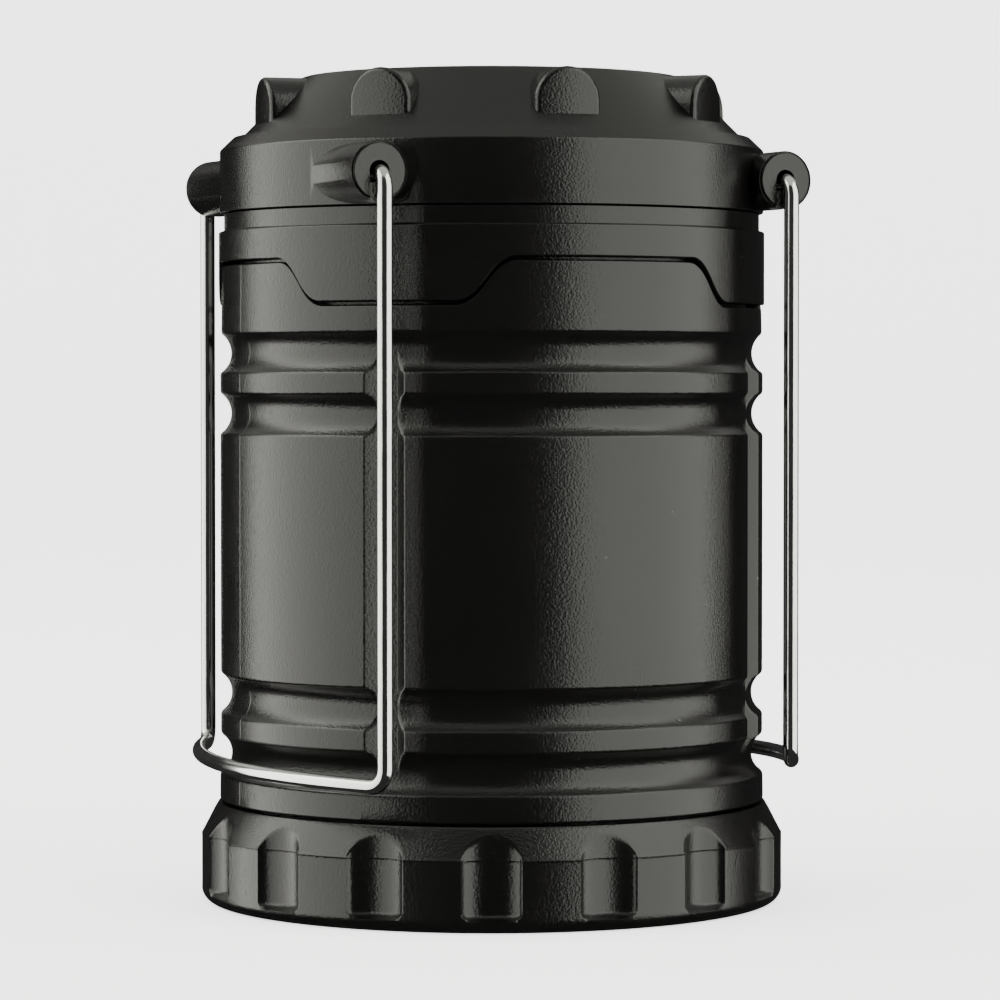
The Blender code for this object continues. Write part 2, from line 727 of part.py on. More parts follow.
def make_battery_holder(plastic):
    profile = [
        (0.0, HOLDER_TOP),
        (HOLDER_RADIUS, HOLDER_TOP),
        (HOLDER_RADIUS, HOLDER_FLANGE_TOP),
        (HOLDER_FLANGE_RADIUS, HOLDER_FLANGE_TOP),
        (HOLDER_FLANGE_RADIUS, HOLDER_FLANGE_BOTTOM),
        (HOLDER_RADIUS, HOLDER_FLANGE_BOTTOM),
        (HOLDER_RADIUS, HOLDER_BOTTOM),
        (0.0, HOLDER_BOTTOM),
    ]
    holder = turned("battery_holder", profile, plastic, segments=48)
    form = bmesh.new()
    for angle in cell_angles():
        low = polar(CELL_PITCH_RADIUS, angle, HOLDER_BOTTOM - MM)
        high = polar(CELL_PITCH_RADIUS, angle, CELL_BORE_TOP)
        cylinder_between(form, low, high, CELL_BORE_RADIUS, 24)
    for angle in screw_angles():
        flange_low = polar(HOLDER_SCREW_RADIUS, angle, HOLDER_FLANGE_BOTTOM - MM)
        flange_high = polar(HOLDER_SCREW_RADIUS, angle, HOLDER_FLANGE_TOP + MM)
        cylinder_between(form, flange_low, flange_high, SCREW_HOLE_RADIUS, HOLE_SEGMENTS)
        top_low = polar(DISH_SCREW_RADIUS, angle, DISH_SCREW_HOLE_END)
        top_high = polar(DISH_SCREW_RADIUS, angle, HOLDER_TOP + MM)
        cylinder_between(form, top_low, top_high, SCREW_HOLE_RADIUS, HOLE_SEGMENTS)
    prism(form, triangle(SHAFT_INRADIUS), SHAFT_FLOOR, HOLDER_TOP + MM)
    boolean(holder, link(mesh_object("holder_cutter", form), CUTTERS))
    return holder


def make_cell(name, angle, sleeve):
    profile = [
        (0.0, CELL_TOP),
        (CELL_BUTTON_RADIUS, CELL_TOP),
        (CELL_BUTTON_RADIUS, CELL_SHOULDER),
        (CELL_RADIUS, CELL_SHOULDER),
        (CELL_RADIUS, CELL_BOTTOM),
        (0.0, CELL_BOTTOM),
    ]
    cell = turned(name, profile, sleeve, segments=24)
    cell.location = polar(CELL_PITCH_RADIUS, angle)
    return cell


def make_spring(name, angle, steel):
    low = CONTACT_DISC_TOP + SPRING_WIRE + 0.3 * MM
    high = CELL_BOTTOM - SPRING_WIRE - 0.3 * MM
    count = SPRING_TURNS * SPRING_POINTS_PER_TURN
    curve = bpy.data.curves.new(name, "CURVE")
    curve.dimensions = "3D"
    curve.bevel_depth = SPRING_WIRE
    curve.bevel_resolution = 1
    curve.use_fill_caps = True
    spline = curve.splines.new("POLY")
    spline.points.add(count)
    for step in range(count + 1):
        share = step / count
        radius = SPRING_FOOT_RADIUS + (SPRING_TIP_RADIUS - SPRING_FOOT_RADIUS) * share
        point = polar(radius, 2.0 * math.pi * SPRING_TURNS * share, low + (high - low) * share)
        spline.points[step].co = (*point, 1.0)
    spring = bpy.data.objects.new(name, curve)
    spring.location = polar(CELL_PITCH_RADIUS, angle)
    return finish(spring, steel)


def make_contact_plate(name, angle, brass):
    plate = disc(name, brass, CONTACT_PLATE_RADIUS, CONTACT_PLATE_BOTTOM, CONTACT_PLATE_TOP, 16)
    plate.location = polar(CELL_PITCH_RADIUS, angle)
    return plate


def make_lower_reflector(silver):
    top = DISH_BOTTOM + DISH_THICKNESS
    rim_inner = DISH_RIM_RADIUS - DISH_THICKNESS
    profile = [
        (DISH_RIM_RADIUS, DISH_RIM_Z),
        (DISH_FLAT_RADIUS + DISH_THICKNESS, DISH_BOTTOM),
        (DISH_HOLE_RADIUS, DISH_BOTTOM),
        (DISH_HOLE_RADIUS, top),
        (DISH_FLAT_RADIUS, top),
        (rim_inner, DISH_RIM_Z),
    ]
    dish = turned("lower_reflector", profile, silver, closed=True, segments=48)
    hole_span = (DISH_BOTTOM - MM, top + MM)
    boolean(dish, make_screw_hole_cutter("dish_hole_cutter", DISH_SCREW_RADIUS, *hole_span))
    return dish


def make_led_post(metal):
    form = bmesh.new()
    prism(form, triangle(POST_INRADIUS), POST_BOTTOM, POST_TOP)
    post = finish(mesh_object("led_post", form), metal)
    bore = bmesh.new()
    prism(bore, triangle(POST_BORE_INRADIUS), POST_BOTTOM - MM, POST_TOP + MM)
    boolean(post, link(mesh_object("post_bore_cutter", bore), CUTTERS))
    return post


def make_led_board(name, angle, board_white):
    """A board with its row of LEDs, standing against one flat of the post."""
    turn = Matrix.Rotation(angle, 4, "Z")
    form = bmesh.new()
    foot_corner = (BOARD_INNER, -BOARD_HALF_WIDTH, BOARD_BOTTOM)
    head_corner = (BOARD_OUTER, BOARD_HALF_WIDTH, BOARD_TOP)
    box_between(form, foot_corner, head_corner)
    board = finish(mesh_object(name, form), board_white)
    board.matrix_world = turn
    leds = bmesh.new()
    pitch = (BOARD_TOP - BOARD_BOTTOM) / LEDS_PER_BOARD
    half = LED_SIZE / 2.0
    for led in range(LEDS_PER_BOARD):
        height = BOARD_BOTTOM + pitch * (led + 0.5)
        low = (BOARD_OUTER - LED_SUNK, -half, height - half)
        high = (BOARD_OUTER + LED_HEIGHT, half, height + half)
        box_between(leds, low, high)
    row = link(mesh_object(name + "_leds", leds), CUTTERS)
    row.matrix_world = turn
    boolean(board, row, "UNION")
    return board


def make_post_foot(plastic):
    """Insulating plug in the post's lower end, with a hole for each contact rod."""
    form = bmesh.new()
    prism(form, triangle(POST_BORE_INRADIUS - 0.3 * MM), POST_BOTTOM, SLEEVE_BOTTOM - 0.3 * MM)
    foot = finish(mesh_object("post_foot", form), plastic)
    holes = bmesh.new()
    for side in (-1.0, 1.0):
        low = (side * ROD_X, 0.0, POST_BOTTOM - MM)
        high = (side * ROD_X, 0.0, SLEEVE_BOTTOM + MM)
        cylinder_between(holes, low, high, ROD_RADIUS + GAP, HOLE_SEGMENTS)
    boolean(foot, link(mesh_object("rod_hole_cutter", holes), CUTTERS))
    return foot


def make_contact_rod(name, side, brass):
    rod = disc(name, brass, ROD_RADIUS, SHAFT_FLOOR + 0.3 * MM, ROD_TOP, 12)
    rod.location.x = side * ROD_X
    return rod


def make_contact_sleeve(name, side, brass):
    sleeve = ring(name, brass, SLEEVE_INNER_RADIUS, SLEEVE_OUTER_RADIUS, SLEEVE_BOTTOM, SLEEVE_TOP, 12)
    sleeve.location.x = side * ROD_X
    return sleeve


def make_screw(name, place, head, tip, steel):
    """A screw at (x, y); head is its radius, bottom and top, and the tip is above or below it."""
    head_radius, head_low, head_high = head
    if tip > head_high:
        profile = [
            (0.0, tip),
            (SCREW_SHANK_RADIUS, tip),
            (SCREW_SHANK_RADIUS, head_high),
            (head_radius, head_high),
            (head_radius, head_low),
            (0.0, head_low),
        ]
    else:
        profile = [
            (0.0, head_high),
            (head_radius, head_high),
            (head_radius, head_low),
            (SCREW_SHANK_RADIUS, head_low),
            (SCREW_SHANK_RADIUS, tip),
            (0.0, tip),
        ]
    screw = turned(name, profile, steel, segments=12)
    screw.location = (*place, 0.0)
    return screw


def make_screws(steel):
    for number, place in enumerate(cap_screw_places(), start=1):
        make_screw(f"cap_screw_{number}", place, CAP_SCREW_HEAD, CAP_SCREW_TIP, steel)
    for number, angle in enumerate(screw_angles(), start=1):
        holder_place = polar(HOLDER_SCREW_RADIUS, angle).to_2d()
        make_screw(f"holder_screw_{number}", holder_place, HOLDER_SCREW_HEAD, HOLDER_SCREW_TIP, steel)
        dish_place = polar(DISH_SCREW_RADIUS, angle).to_2d()
        make_screw(f"reflector_screw_{number}", dish_place, DISH_SCREW_HEAD, DISH_SCREW_TIP, steel)


def make_driver_board(board_green):
    """Round circuit board with its coil, chip and two capacitors on top."""
    board = disc("driver_board", board_green, DRIVER_RADIUS, DRIVER_BOTTOM, DRIVER_TOP, 32)
    form = bmesh.new()
    sunk = DRIVER_TOP - COMPONENT_SUNK
    for middle, size in (COIL, CHIP):
        low = Vector((middle[0] - size[0] / 2.0, middle[1] - size[1] / 2.0, sunk))
        high = Vector((middle[0] + size[0] / 2.0, middle[1] + size[1] / 2.0, DRIVER_TOP + size[2]))
        box_between(form, low, high)
    for place in CAPACITOR_PLACES:
        top = DRIVER_TOP + CAPACITOR_HEIGHT
        cylinder_between(form, (*place, sunk), (*place, top), CAPACITOR_RADIUS, 16)
    boolean(board, link(mesh_object("driver_components", form), CUTTERS), "UNION")
    return board


def build():
    clear_scene()
    black = make_material("moulded_black_plastic", (0.018, 0.018, 0.019), 0.42)
    dark = make_material("dark_inner_plastic", (0.05, 0.05, 0.055), 0.5)
    chrome = make_material("chromed_wire", (0.72, 0.73, 0.74), 0.14, metallic=1.0)
    clear = make_material("clear_lens_plastic", (0.95, 0.97, 0.98), 0.08, transmission=0.9)
    silver = make_material("silvered_reflector", (0.85, 0.86, 0.87), 0.12, metallic=1.0)
    white_board = make_material("white_led_board", (0.85, 0.85, 0.83), 0.35)
    green_board = make_material("green_circuit_board", (0.03, 0.16, 0.07), 0.4)
    brass = make_material("brass_contact", (0.78, 0.58, 0.28), 0.25, metallic=1.0)
    steel = make_material("zinc_plated_steel", (0.55, 0.56, 0.57), 0.3, metallic=1.0)
    aluminium = make_material("aluminium_post", (0.75, 0.76, 0.77), 0.35, metallic=1.0)
    rubber = make_material("black_rubber", (0.02, 0.02, 0.02), 0.7)
    sleeve = make_material("cell_sleeve", (0.2, 0.22, 0.26), 0.35)

    make_top_cap(black)
    make_head_skirt(black)
    make_bail("bail_left", -1.0, chrome)
    make_bail("bail_right", 1.0, chrome)
    make_lens_tube(clear)
    ring("stop_ring", dark, LENS_OUTER_RADIUS + GAP, STOP_RING_RADIUS, LENS_BOTTOM, STOP_RING_TOP)
    disc("upper_reflector", silver, REFLECTOR_RADIUS, REFLECTOR_BOTTOM, REFLECTOR_TOP)
    make_led_post(aluminium)
    make_post_foot(dark)
    make_driver_board(green_board)

    make_body_shell(black)
    make_guide_ring(dark)
    friction_z = (FRICTION_GROOVE_BOTTOM + FRICTION_GROOVE_TOP) / 2.0
    rubber_ring("friction_ring", rubber, FRICTION_RING_RADIUS, friction_z, FRICTION_RING_WIRE)
    seal_z = (SEAL_GROOVE_BOTTOM + SEAL_GROOVE_TOP) / 2.0
    rubber_ring("seal_ring", rubber, SEAL_RING_RADIUS, seal_z, SEAL_RING_WIRE)
    make_battery_holder(dark)
    make_lower_reflector(silver)
    for number, angle in enumerate(cell_angles(), start=1):
        make_cell(f"cell_{number}", angle, sleeve)
        make_spring(f"spring_{number}", angle, steel)
        make_contact_plate(f"contact_plate_{number}", angle, brass)
        make_led_board(f"led_board_{number}", angle, white_board)
    for sign, side in (("positive", 1.0), ("negative", -1.0)):
        make_contact_rod(f"contact_rod_{sign}", side, brass)
        make_contact_sleeve(f"contact_sleeve_{sign}", side, brass)
    make_screws(steel)

    make_base_cap(black)
    disc("contact_disc", dark, CONTACT_DISC_RADIUS, CONTACT_DISC_BOTTOM, CONTACT_DISC_TOP)

    for item in make_collection(LANTERN).objects:
        if item.type == "MESH":
            smooth_round_sides(item)


build()
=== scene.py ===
import json
import math

import bmesh
import bpy
import numpy as np
from bpy.props import FloatProperty, FloatVectorProperty, IntProperty, PointerProperty
from bpy.types import Operator, Panel, PropertyGroup
from mathutils import Matrix, Vector


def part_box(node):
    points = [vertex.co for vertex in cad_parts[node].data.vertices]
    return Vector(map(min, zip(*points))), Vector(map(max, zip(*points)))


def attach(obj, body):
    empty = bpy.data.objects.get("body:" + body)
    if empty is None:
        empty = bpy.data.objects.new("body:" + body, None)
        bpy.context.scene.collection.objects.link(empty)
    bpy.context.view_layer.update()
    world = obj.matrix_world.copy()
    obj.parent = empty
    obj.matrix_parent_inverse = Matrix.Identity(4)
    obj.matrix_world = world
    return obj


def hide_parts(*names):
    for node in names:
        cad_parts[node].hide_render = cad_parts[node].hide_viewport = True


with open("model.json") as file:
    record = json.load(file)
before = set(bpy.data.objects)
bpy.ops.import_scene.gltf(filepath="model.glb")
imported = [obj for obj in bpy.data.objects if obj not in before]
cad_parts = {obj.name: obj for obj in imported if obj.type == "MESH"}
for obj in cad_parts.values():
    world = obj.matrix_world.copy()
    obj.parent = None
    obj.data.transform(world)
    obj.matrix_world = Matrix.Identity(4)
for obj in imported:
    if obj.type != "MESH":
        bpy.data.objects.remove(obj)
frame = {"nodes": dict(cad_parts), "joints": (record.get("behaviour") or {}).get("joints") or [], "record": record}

bl_info = {
    "name": "Collapsible camping lantern",
    "version": (1, 0, 0),
    "blender": (4, 5, 0),
    "location": "View3D > Sidebar > Lantern",
    "description": "Models the visible pieces of a collapsible camping lantern around its fixed frame",
    "category": "Add Mesh",
}

MM = 0.001
TURN = 2.0 * math.pi
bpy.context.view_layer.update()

# The frame's own sizes, in metres.
BASE_LOW, BASE_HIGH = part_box("base_cap")
SHELL_LOW, SHELL_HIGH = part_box("body_shell")
SKIRT_LOW, SKIRT_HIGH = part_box("head_skirt")
CAP_LOW, CAP_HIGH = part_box("top_cap")
LENS_LOW, LENS_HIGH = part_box("lens_tube")
DISH_LOW, DISH_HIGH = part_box("lower_reflector")
PLATE_LOW, PLATE_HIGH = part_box("upper_reflector")
HINGES = {joint["name"]: Vector(joint["pos_m"]) for joint in frame["joints"] if joint.get("pos_m")}
PIVOT = HINGES["bail_right_swing"]
BAIL_LOW, BAIL_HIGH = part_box("bail_right")


class LanternSizes(PropertyGroup):
    """Sizes that shape the visible pieces."""

    shell_steps: IntProperty(
        name="Columns round a shell", description="Columns of faces round the body and the head",
        default=720, min=48
    )
    groove_depth: FloatProperty(
        name="Groove depth", description="Depth of the four scooped grooves", default=1.62 * MM, unit="LENGTH"
    )
    seam_gap: FloatProperty(
        name="Wavy seam", description="Open width of the wavy seam under the head",
        default=0.5 * MM, unit="LENGTH"
    )
    edge_round: FloatProperty(
        name="Edge rounding", description="Radius on the moulded edges", default=0.35 * MM, unit="LENGTH"
    )
    scoop_radius: FloatProperty(
        name="Scoop radius", description="Radius of the finger scoops round the base",
        default=5.8 * MM, unit="LENGTH"
    )
    scoop_depth: FloatProperty(
        name="Scoop depth", description="How deep the finger scoops are", default=1.8 * MM, unit="LENGTH"
    )
    wire_radius: FloatProperty(
        name="Bail wire radius", description="Half the thickness of the bails",
        default=1.1 * MM, unit="LENGTH"
    )
    lug_width: FloatProperty(
        name="Lug width", description="Width of the half-round lugs on the cap",
        default=9.6 * MM, unit="LENGTH"
    )
    lug_round: FloatProperty(
        name="Lug rounding", description="Radius on the lugs' outer edges", default=0.7 * MM, unit="LENGTH"
    )


class LanternFinish(PropertyGroup):
    """Colours and surface values of the finishes."""

    plastic_colour: FloatVectorProperty(
        name="Plastic", description="Colour of the moulded shells", subtype="COLOR", size=3,
        min=0.0, max=1.0, default=(0.0014, 0.0013, 0.0012),
    )
    plastic_roughness: FloatProperty(
        name="Plastic roughness", description="Roughness of the moulded shells",
        default=0.23, min=0.0, max=1.0
    )
    grain_size: FloatProperty(
        name="Grain size", description="Size of the moulded grain", default=0.34 * MM, unit="LENGTH"
    )
    chrome_colour: FloatVectorProperty(
        name="Chrome", description="Colour of the bails", subtype="COLOR", size=3,
        min=0.0, max=1.0, default=(0.80, 0.79, 0.78),
    )
    floor_colour: FloatVectorProperty(
        name="Floor", description="Colour of the pale floor", subtype="COLOR", size=3,
        min=0.0, max=1.0, default=(0.86, 0.86, 0.86),
    )


# ---------------------------------------------------------------- modelling helpers


def deselect_all():
    if bpy.context.object and bpy.context.object.mode != "OBJECT":
        bpy.ops.object.mode_set(mode="OBJECT")
    bpy.ops.object.select_all(action="DESELECT")


def make_active(piece):
    deselect_all()
    piece.select_set(True)
    bpy.context.view_layer.objects.active = piece


def new_primitive(name, add, **settings):
    """Adds one primitive with nothing else selected, and names it."""
    deselect_all()
    add(**settings)
    piece = bpy.context.object
    piece.name = name
    piece.data.name = name
    return piece


def settle(piece):
    """Puts the object's place, turn and scale into its mesh."""
    make_active(piece)
    bpy.ops.object.transform_apply(location=True, rotation=True, scale=True)
    return piece


def apply_modifier(piece, kind, **settings):
    make_active(piece)
    modifier = piece.modifiers.new(kind.title(), kind)
    for key, value in settings.items():
        setattr(modifier, key, value)
    bpy.ops.object.modifier_apply(modifier=modifier.name)
    return piece


def join(pieces, name):
    make_active(pieces[0])
    for piece in pieces[1:]:
        piece.select_set(True)
    bpy.ops.object.join()
    joined = bpy.context.object
    joined.name = name
    return joined


def boolean(piece, tool, operation):
    apply_modifier(piece, "BOOLEAN", operation=operation, solver="EXACT", object=tool)
    bpy.data.objects.remove(tool, do_unlink=True)
    return piece


def select_faces(piece, wanted):
    """In edit mode, selects only the faces for which wanted(face) is true."""
    form = bmesh.from_edit_mesh(piece.data)
    bpy.ops.mesh.select_all(action="DESELECT")
    for face in form.faces:
        if wanted(face):
            face.select_set(True)
    form.select_flush(True)
    bmesh.update_edit_mesh(piece.data)


def select_edges(piece, wanted):
    """In edit mode, selects only the edges for which wanted(edge) is true."""
    bpy.ops.mesh.select_mode(type="EDGE")
    form = bmesh.from_edit_mesh(piece.data)
    bpy.ops.mesh.select_all(action="DESELECT")
    for edge in form.edges:
        if wanted(edge):
            edge.select_set(True)
    bmesh.update_edit_mesh(piece.data)


def lathe(name, outline, steps, closed=True):
    """Draws a (radius, height) outline by extruding one point, then spins it round Z."""
    piece = new_primitive(name, bpy.ops.mesh.primitive_plane_add, size=MM, enter_editmode=True)
    bpy.ops.mesh.select_mode(type="VERT")
    bpy.ops.mesh.select_all(action="SELECT")
    bpy.ops.mesh.merge(type="CENTER")
    place = Vector((0.0, 0.0, 0.0))
    for index, (radius, height) in enumerate(outline):
        target = Vector((radius, 0.0, height))
        if index == 0:
            bpy.ops.transform.translate(value=target - place)
        else:
            bpy.ops.mesh.extrude_vertices_move(TRANSFORM_OT_translate={"value": target - place})
        place = target
    if closed:
        form = bmesh.from_edit_mesh(piece.data)
        form.verts.ensure_lookup_table()
        bpy.ops.mesh.select_all(action="DESELECT")
        for end in (form.verts[0], form.verts[-1]):
            end.select_set(True)
        bpy.ops.mesh.edge_face_add()
    bpy.ops.mesh.select_all(action="SELECT")
    bpy.ops.mesh.spin(steps=steps, angle=TURN, center=(0.0, 0.0, 0.0), axis=(0.0, 0.0, 1.0))
    bpy.ops.mesh.select_all(action="SELECT")
    bpy.ops.mesh.remove_doubles(threshold=0.000002)
    bpy.ops.mesh.normals_make_consistent(inside=False)
    bpy.ops.object.mode_set(mode="OBJECT")
    if not piece.data.polygons:
        raise RuntimeError(f"{name} was spun without any faces")
    return piece


def points_of(piece):
    found = np.empty(len(piece.data.vertices) * 3, np.float64)
    piece.data.vertices.foreach_get("co", found)
    return found.reshape(-1, 3)


def press(piece, rule, crowding=((), 0.0, 0.0)):
    """Moves a lathed piece's points: rule(radius, angle, height) gives the new radius and height.

    The columns are first drawn together round the crowded angles, so that creases there are crisp.
    """
    places = points_of(piece)
    radius = np.hypot(places[:, 0], places[:, 1])
    angle = crowded(np.arctan2(places[:, 1], places[:, 0]), *crowding)
    new_radius, new_height = rule(radius, angle, places[:, 2])
    places[:, 0] = new_radius * np.cos(angle)
    places[:, 1] = new_radius * np.sin(angle)
    places[:, 2] = new_height
    piece.data.vertices.foreach_set("co", places.ravel())
    piece.data.update()
    return piece


def crowded(angle, centres, reach, weight):
    """Spaces evenly spread angles more tightly within reach of each centre."""
    samples = np.linspace(0.0, TURN, 7201)
    density = np.ones(len(samples))
    for centre in centres:
        away = np.abs((samples - centre + math.pi) % TURN - math.pi)
        density += weight * (away < reach)
    total = np.concatenate(([0.0], np.cumsum(density[1:])))
    return np.interp(angle % TURN, total / total[-1] * TURN, samples)


def soft_least(first, second, blend):
    """The smaller of two values, rounded over where they cross."""
    near = np.maximum(blend - np.abs(first - second), 0.0) / blend
    return np.minimum(first, second) - near * near * blend / 4.0


def rounded(points, radius, steps=4):
    """Replaces each inner corner of an outline by a small arc. A corner can carry its own radius."""
    result = [points[0][:2]]
    for before, corner, after in zip(points, points[1:], points[2:]):
        own = corner[2] if len(corner) > 2 else radius
        here = Vector(corner[:2])
        inward = Vector(before[:2]) - here
        outward = Vector(after[:2]) - here
        angle = inward.angle(outward)
        if own <= 0.0 or angle > math.radians(176.0):
            result.append(tuple(here))
            continue
        reach = min(own / math.tan(angle / 2.0), inward.length * 0.48, outward.length * 0.48)
        start = here + inward.normalized() * reach
        end = here + outward.normalized() * reach
        true_radius = reach * math.tan(angle / 2.0)
        bisector = (inward.normalized() + outward.normalized()).normalized()
        centre = here + bisector * (true_radius / math.sin(angle / 2.0))
        first = start - centre
        swing = first.angle_signed(end - centre)
        for step in range(steps + 1):
            turned = first.copy()
            turned.rotate(Matrix.Rotation(-swing * step / steps, 2))
            result.append(tuple(centre + turned))
    result.append(points[-1][:2])
    return result


def finish_surface(piece, material, body, nodes, angle=32.0):
    """Shades, names the finish and puts the piece in place of its frame nodes."""
    make_active(piece)
    bpy.ops.object.shade_smooth_by_angle(angle=math.radians(angle))
    apply_modifier(piece, "WEIGHTED_NORMAL", keep_sharp=True, weight=70)
    piece.data.materials.clear()
    piece.data.materials.append(material)
    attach(piece, body)
    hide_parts(*nodes)
    return piece


# ---------------------------------------------------------------- finishes


class Nodes:
    """Short hand for building a material's node tree."""

    def __init__(self, name):
        self.material = bpy.data.materials.new(name)
        self.material.use_nodes = True
        self.tree = self.material.node_tree
        self.shader = self.tree.nodes["Principled BSDF"]
        self.place = self.tree.nodes.new("ShaderNodeTexCoord").outputs["Object"]

    def add(self, kind, links=None, **settings):
        node = self.tree.nodes.new(kind)
        for key, value in settings.items():
            setattr(node, key, value)
        for socket, source in (links or {}).items():
            if isinstance(source, bpy.types.NodeSocket):
                self.tree.links.new(source, node.inputs[socket])
            else:
                node.inputs[socket].default_value = source
        return node

    def noise(self, scale, detail=3.0, roughness=0.5, vector=None):
        vector = vector or self.place
        links = {"Vector": vector, "Scale": scale, "Detail": detail, "Roughness": roughness}
        return self.add("ShaderNodeTexNoise", links).outputs["Fac"]

    def cells(self, scale, feature="F1", vector=None):
        links = {"Vector": vector or self.place, "Scale": scale}
        return self.add("ShaderNodeTexVoronoi", links, feature=feature).outputs["Distance"]

    def stretched(self, scale):
        return self.add("ShaderNodeMapping", {"Vector": self.place, "Scale": scale}).outputs["Vector"]

    def span(self, value, low, high, to_low=0.0, to_high=1.0):
        links = {"Value": value, "From Min": low, "From Max": high, "To Min": to_low, "To Max": to_high}
        return self.add("ShaderNodeMapRange", links).outputs["Result"]

    def maths(self, operation, first, second=0.0):
        return self.add("ShaderNodeMath", {0: first, 1: second}, operation=operation).outputs["Value"]

    def blend(self, share, low_colour, high_colour):
        node = self.add("ShaderNodeMix", data_type="RGBA")
        for index, source in ((0, share), (6, low_colour), (7, high_colour)):
            if isinstance(source, bpy.types.NodeSocket):
                self.tree.links.new(source, node.inputs[index])
            else:
                node.inputs[index].default_value = source if index == 0 else (*source, 1.0)
        return node.outputs[2]

    def bump(self, height, distance, strength=1.0, after=None):
        links = {"Height": height, "Distance": distance, "Strength": strength}
        if after is not None:
            links["Normal"] = after
        return self.add("ShaderNodeBump", links).outputs["Normal"]

    def drive(self, **sources):
        names = {
            "colour": "Base Color", "roughness": "Roughness", "normal": "Normal", "metallic": "Metallic",
            "specular": "Specular IOR Level", "ior": "IOR", "coat": "Coat Weight",
            "coat_roughness": "Coat Roughness",
            "transmission": "Transmission Weight", "alpha": "Alpha", "emission": "Emission Color",
            "emission_strength": "Emission Strength", "anisotropic": "Anisotropic",
        }
        for key, source in sources.items():
            socket = self.shader.inputs[names[key]]
            if isinstance(source, bpy.types.NodeSocket):
                self.tree.links.new(source, socket)
            elif key in ("colour", "emission"):
                socket.default_value = (*source, 1.0)
            else:
                socket.default_value = source
        return self.material


def lighter(colour, factor):
    return tuple(min(channel * factor, 1.0) for channel in colour)


def grained_plastic(name, finish, tone=1.0, rougher=0.0, dust=0.0):
    """Moulded black plastic: spark-eroded grain, faint flow marks and fine dust."""
    nodes = Nodes(name)
    colour = lighter(finish.plastic_colour, tone)
    flow = nodes.noise(28.0, detail=4.0, roughness=0.6)
    speck = nodes.span(nodes.cells(210.0), 0.055, 0.035)
    patch = nodes.span(nodes.noise(70.0, detail=2.0), 0.56, 0.70)
    dusty = nodes.maths("MULTIPLY", nodes.maths("MULTIPLY", speck, patch), 0.35 + dust)
    tinted = nodes.blend(flow, colour, lighter(colour, 1.35))
    nodes.drive(colour=nodes.blend(dusty, tinted, (0.16, 0.155, 0.145)))
    rough_low = finish.plastic_roughness + rougher
    smear = nodes.span(
        nodes.noise(45.0, detail=5.0, roughness=0.65), 0.3, 0.7, rough_low - 0.03, rough_low + 0.05
    )
    nodes.drive(roughness=nodes.maths("ADD", smear, nodes.maths("MULTIPLY", dusty, 0.4)))
    fine = nodes.noise(1.0 / finish.grain_size, detail=1.0, roughness=0.5)
    coarse = nodes.noise(0.45 / finish.grain_size, detail=1.0)
    waviness = nodes.noise(90.0, detail=1.0)
    base = nodes.bump(waviness, 0.00010, 0.06)
    grain = nodes.bump(coarse, 0.00006, 0.04, after=base)
    nodes.drive(normal=nodes.bump(fine, 0.00006, 0.80, after=grain), specular=0.5)
    return nodes.material


def chromed_wire(finish):
    """Bright chrome with faint draw lines along the wire and a little waviness."""
    nodes = Nodes("chromed bail wire")
    draw = nodes.noise(1.0, detail=3.0, vector=nodes.stretched((5200.0, 5200.0, 160.0)))
    haze = nodes.noise(160.0, detail=4.0)
    tarnish = nodes.span(nodes.noise(55.0, detail=5.0, roughness=0.7), 0.55, 0.75)
    nodes.drive(
        colour=nodes.blend(tarnish, finish.chrome_colour, lighter(finish.chrome_colour, 0.82)), metallic=1.0
    )
    nodes.drive(roughness=nodes.span(haze, 0.3, 0.7, 0.09, 0.19))
    base = nodes.bump(haze, 0.00008, 0.25)
    nodes.drive(normal=nodes.bump(draw, 0.000012, 0.4, after=base))
    return nodes.material


def clear_plastic():
    """Clear acrylic with a faint grey tint, very fine scuffs and moulding waviness."""
    nodes = Nodes("clear lens acrylic")
    scuffs = nodes.noise(1.0, detail=4.0, vector=nodes.stretched((900.0, 900.0, 90.0)))
    nodes.drive(roughness=nodes.span(scuffs, 0.45, 0.75, 0.03, 0.13))
    tint = nodes.blend(nodes.noise(20.0), (0.96, 0.975, 0.98), (0.90, 0.92, 0.93))
    nodes.drive(colour=tint, transmission=1.0, ior=1.49)
    nodes.drive(normal=nodes.bump(nodes.noise(90.0, detail=2.0), 0.00005, 0.2))
    return nodes.material


def silvered(name):
    """Vacuum-metallised plastic with orange-peel waviness."""
    nodes = Nodes(name)
    peel = nodes.noise(420.0, detail=2.0)
    cloud = nodes.noise(60.0, detail=3.0)
    nodes.drive(colour=nodes.blend(cloud, (0.83, 0.84, 0.86), (0.90, 0.91, 0.92)), metallic=1.0)
    nodes.drive(roughness=nodes.span(cloud, 0.3, 0.7, 0.08, 0.17))
    nodes.drive(normal=nodes.bump(peel, 0.00005, 0.35))
    return nodes.material


def metal(name, colour, roughness, brushed=(900.0, 900.0, 900.0)):
    """Worn bare or plated metal with directional lines and dull patches."""
    nodes = Nodes(name)
    lines = nodes.noise(1.0, detail=4.0, vector=nodes.stretched(brushed))
    dull = nodes.noise(110.0, detail=4.0, roughness=0.65)
    nodes.drive(colour=nodes.blend(dull, colour, lighter(colour, 0.78)), metallic=1.0)
    nodes.drive(roughness=nodes.span(dull, 0.3, 0.7, roughness - 0.06, roughness + 0.12))
    nodes.drive(normal=nodes.bump(lines, 0.00003, 0.35))
    return nodes.material


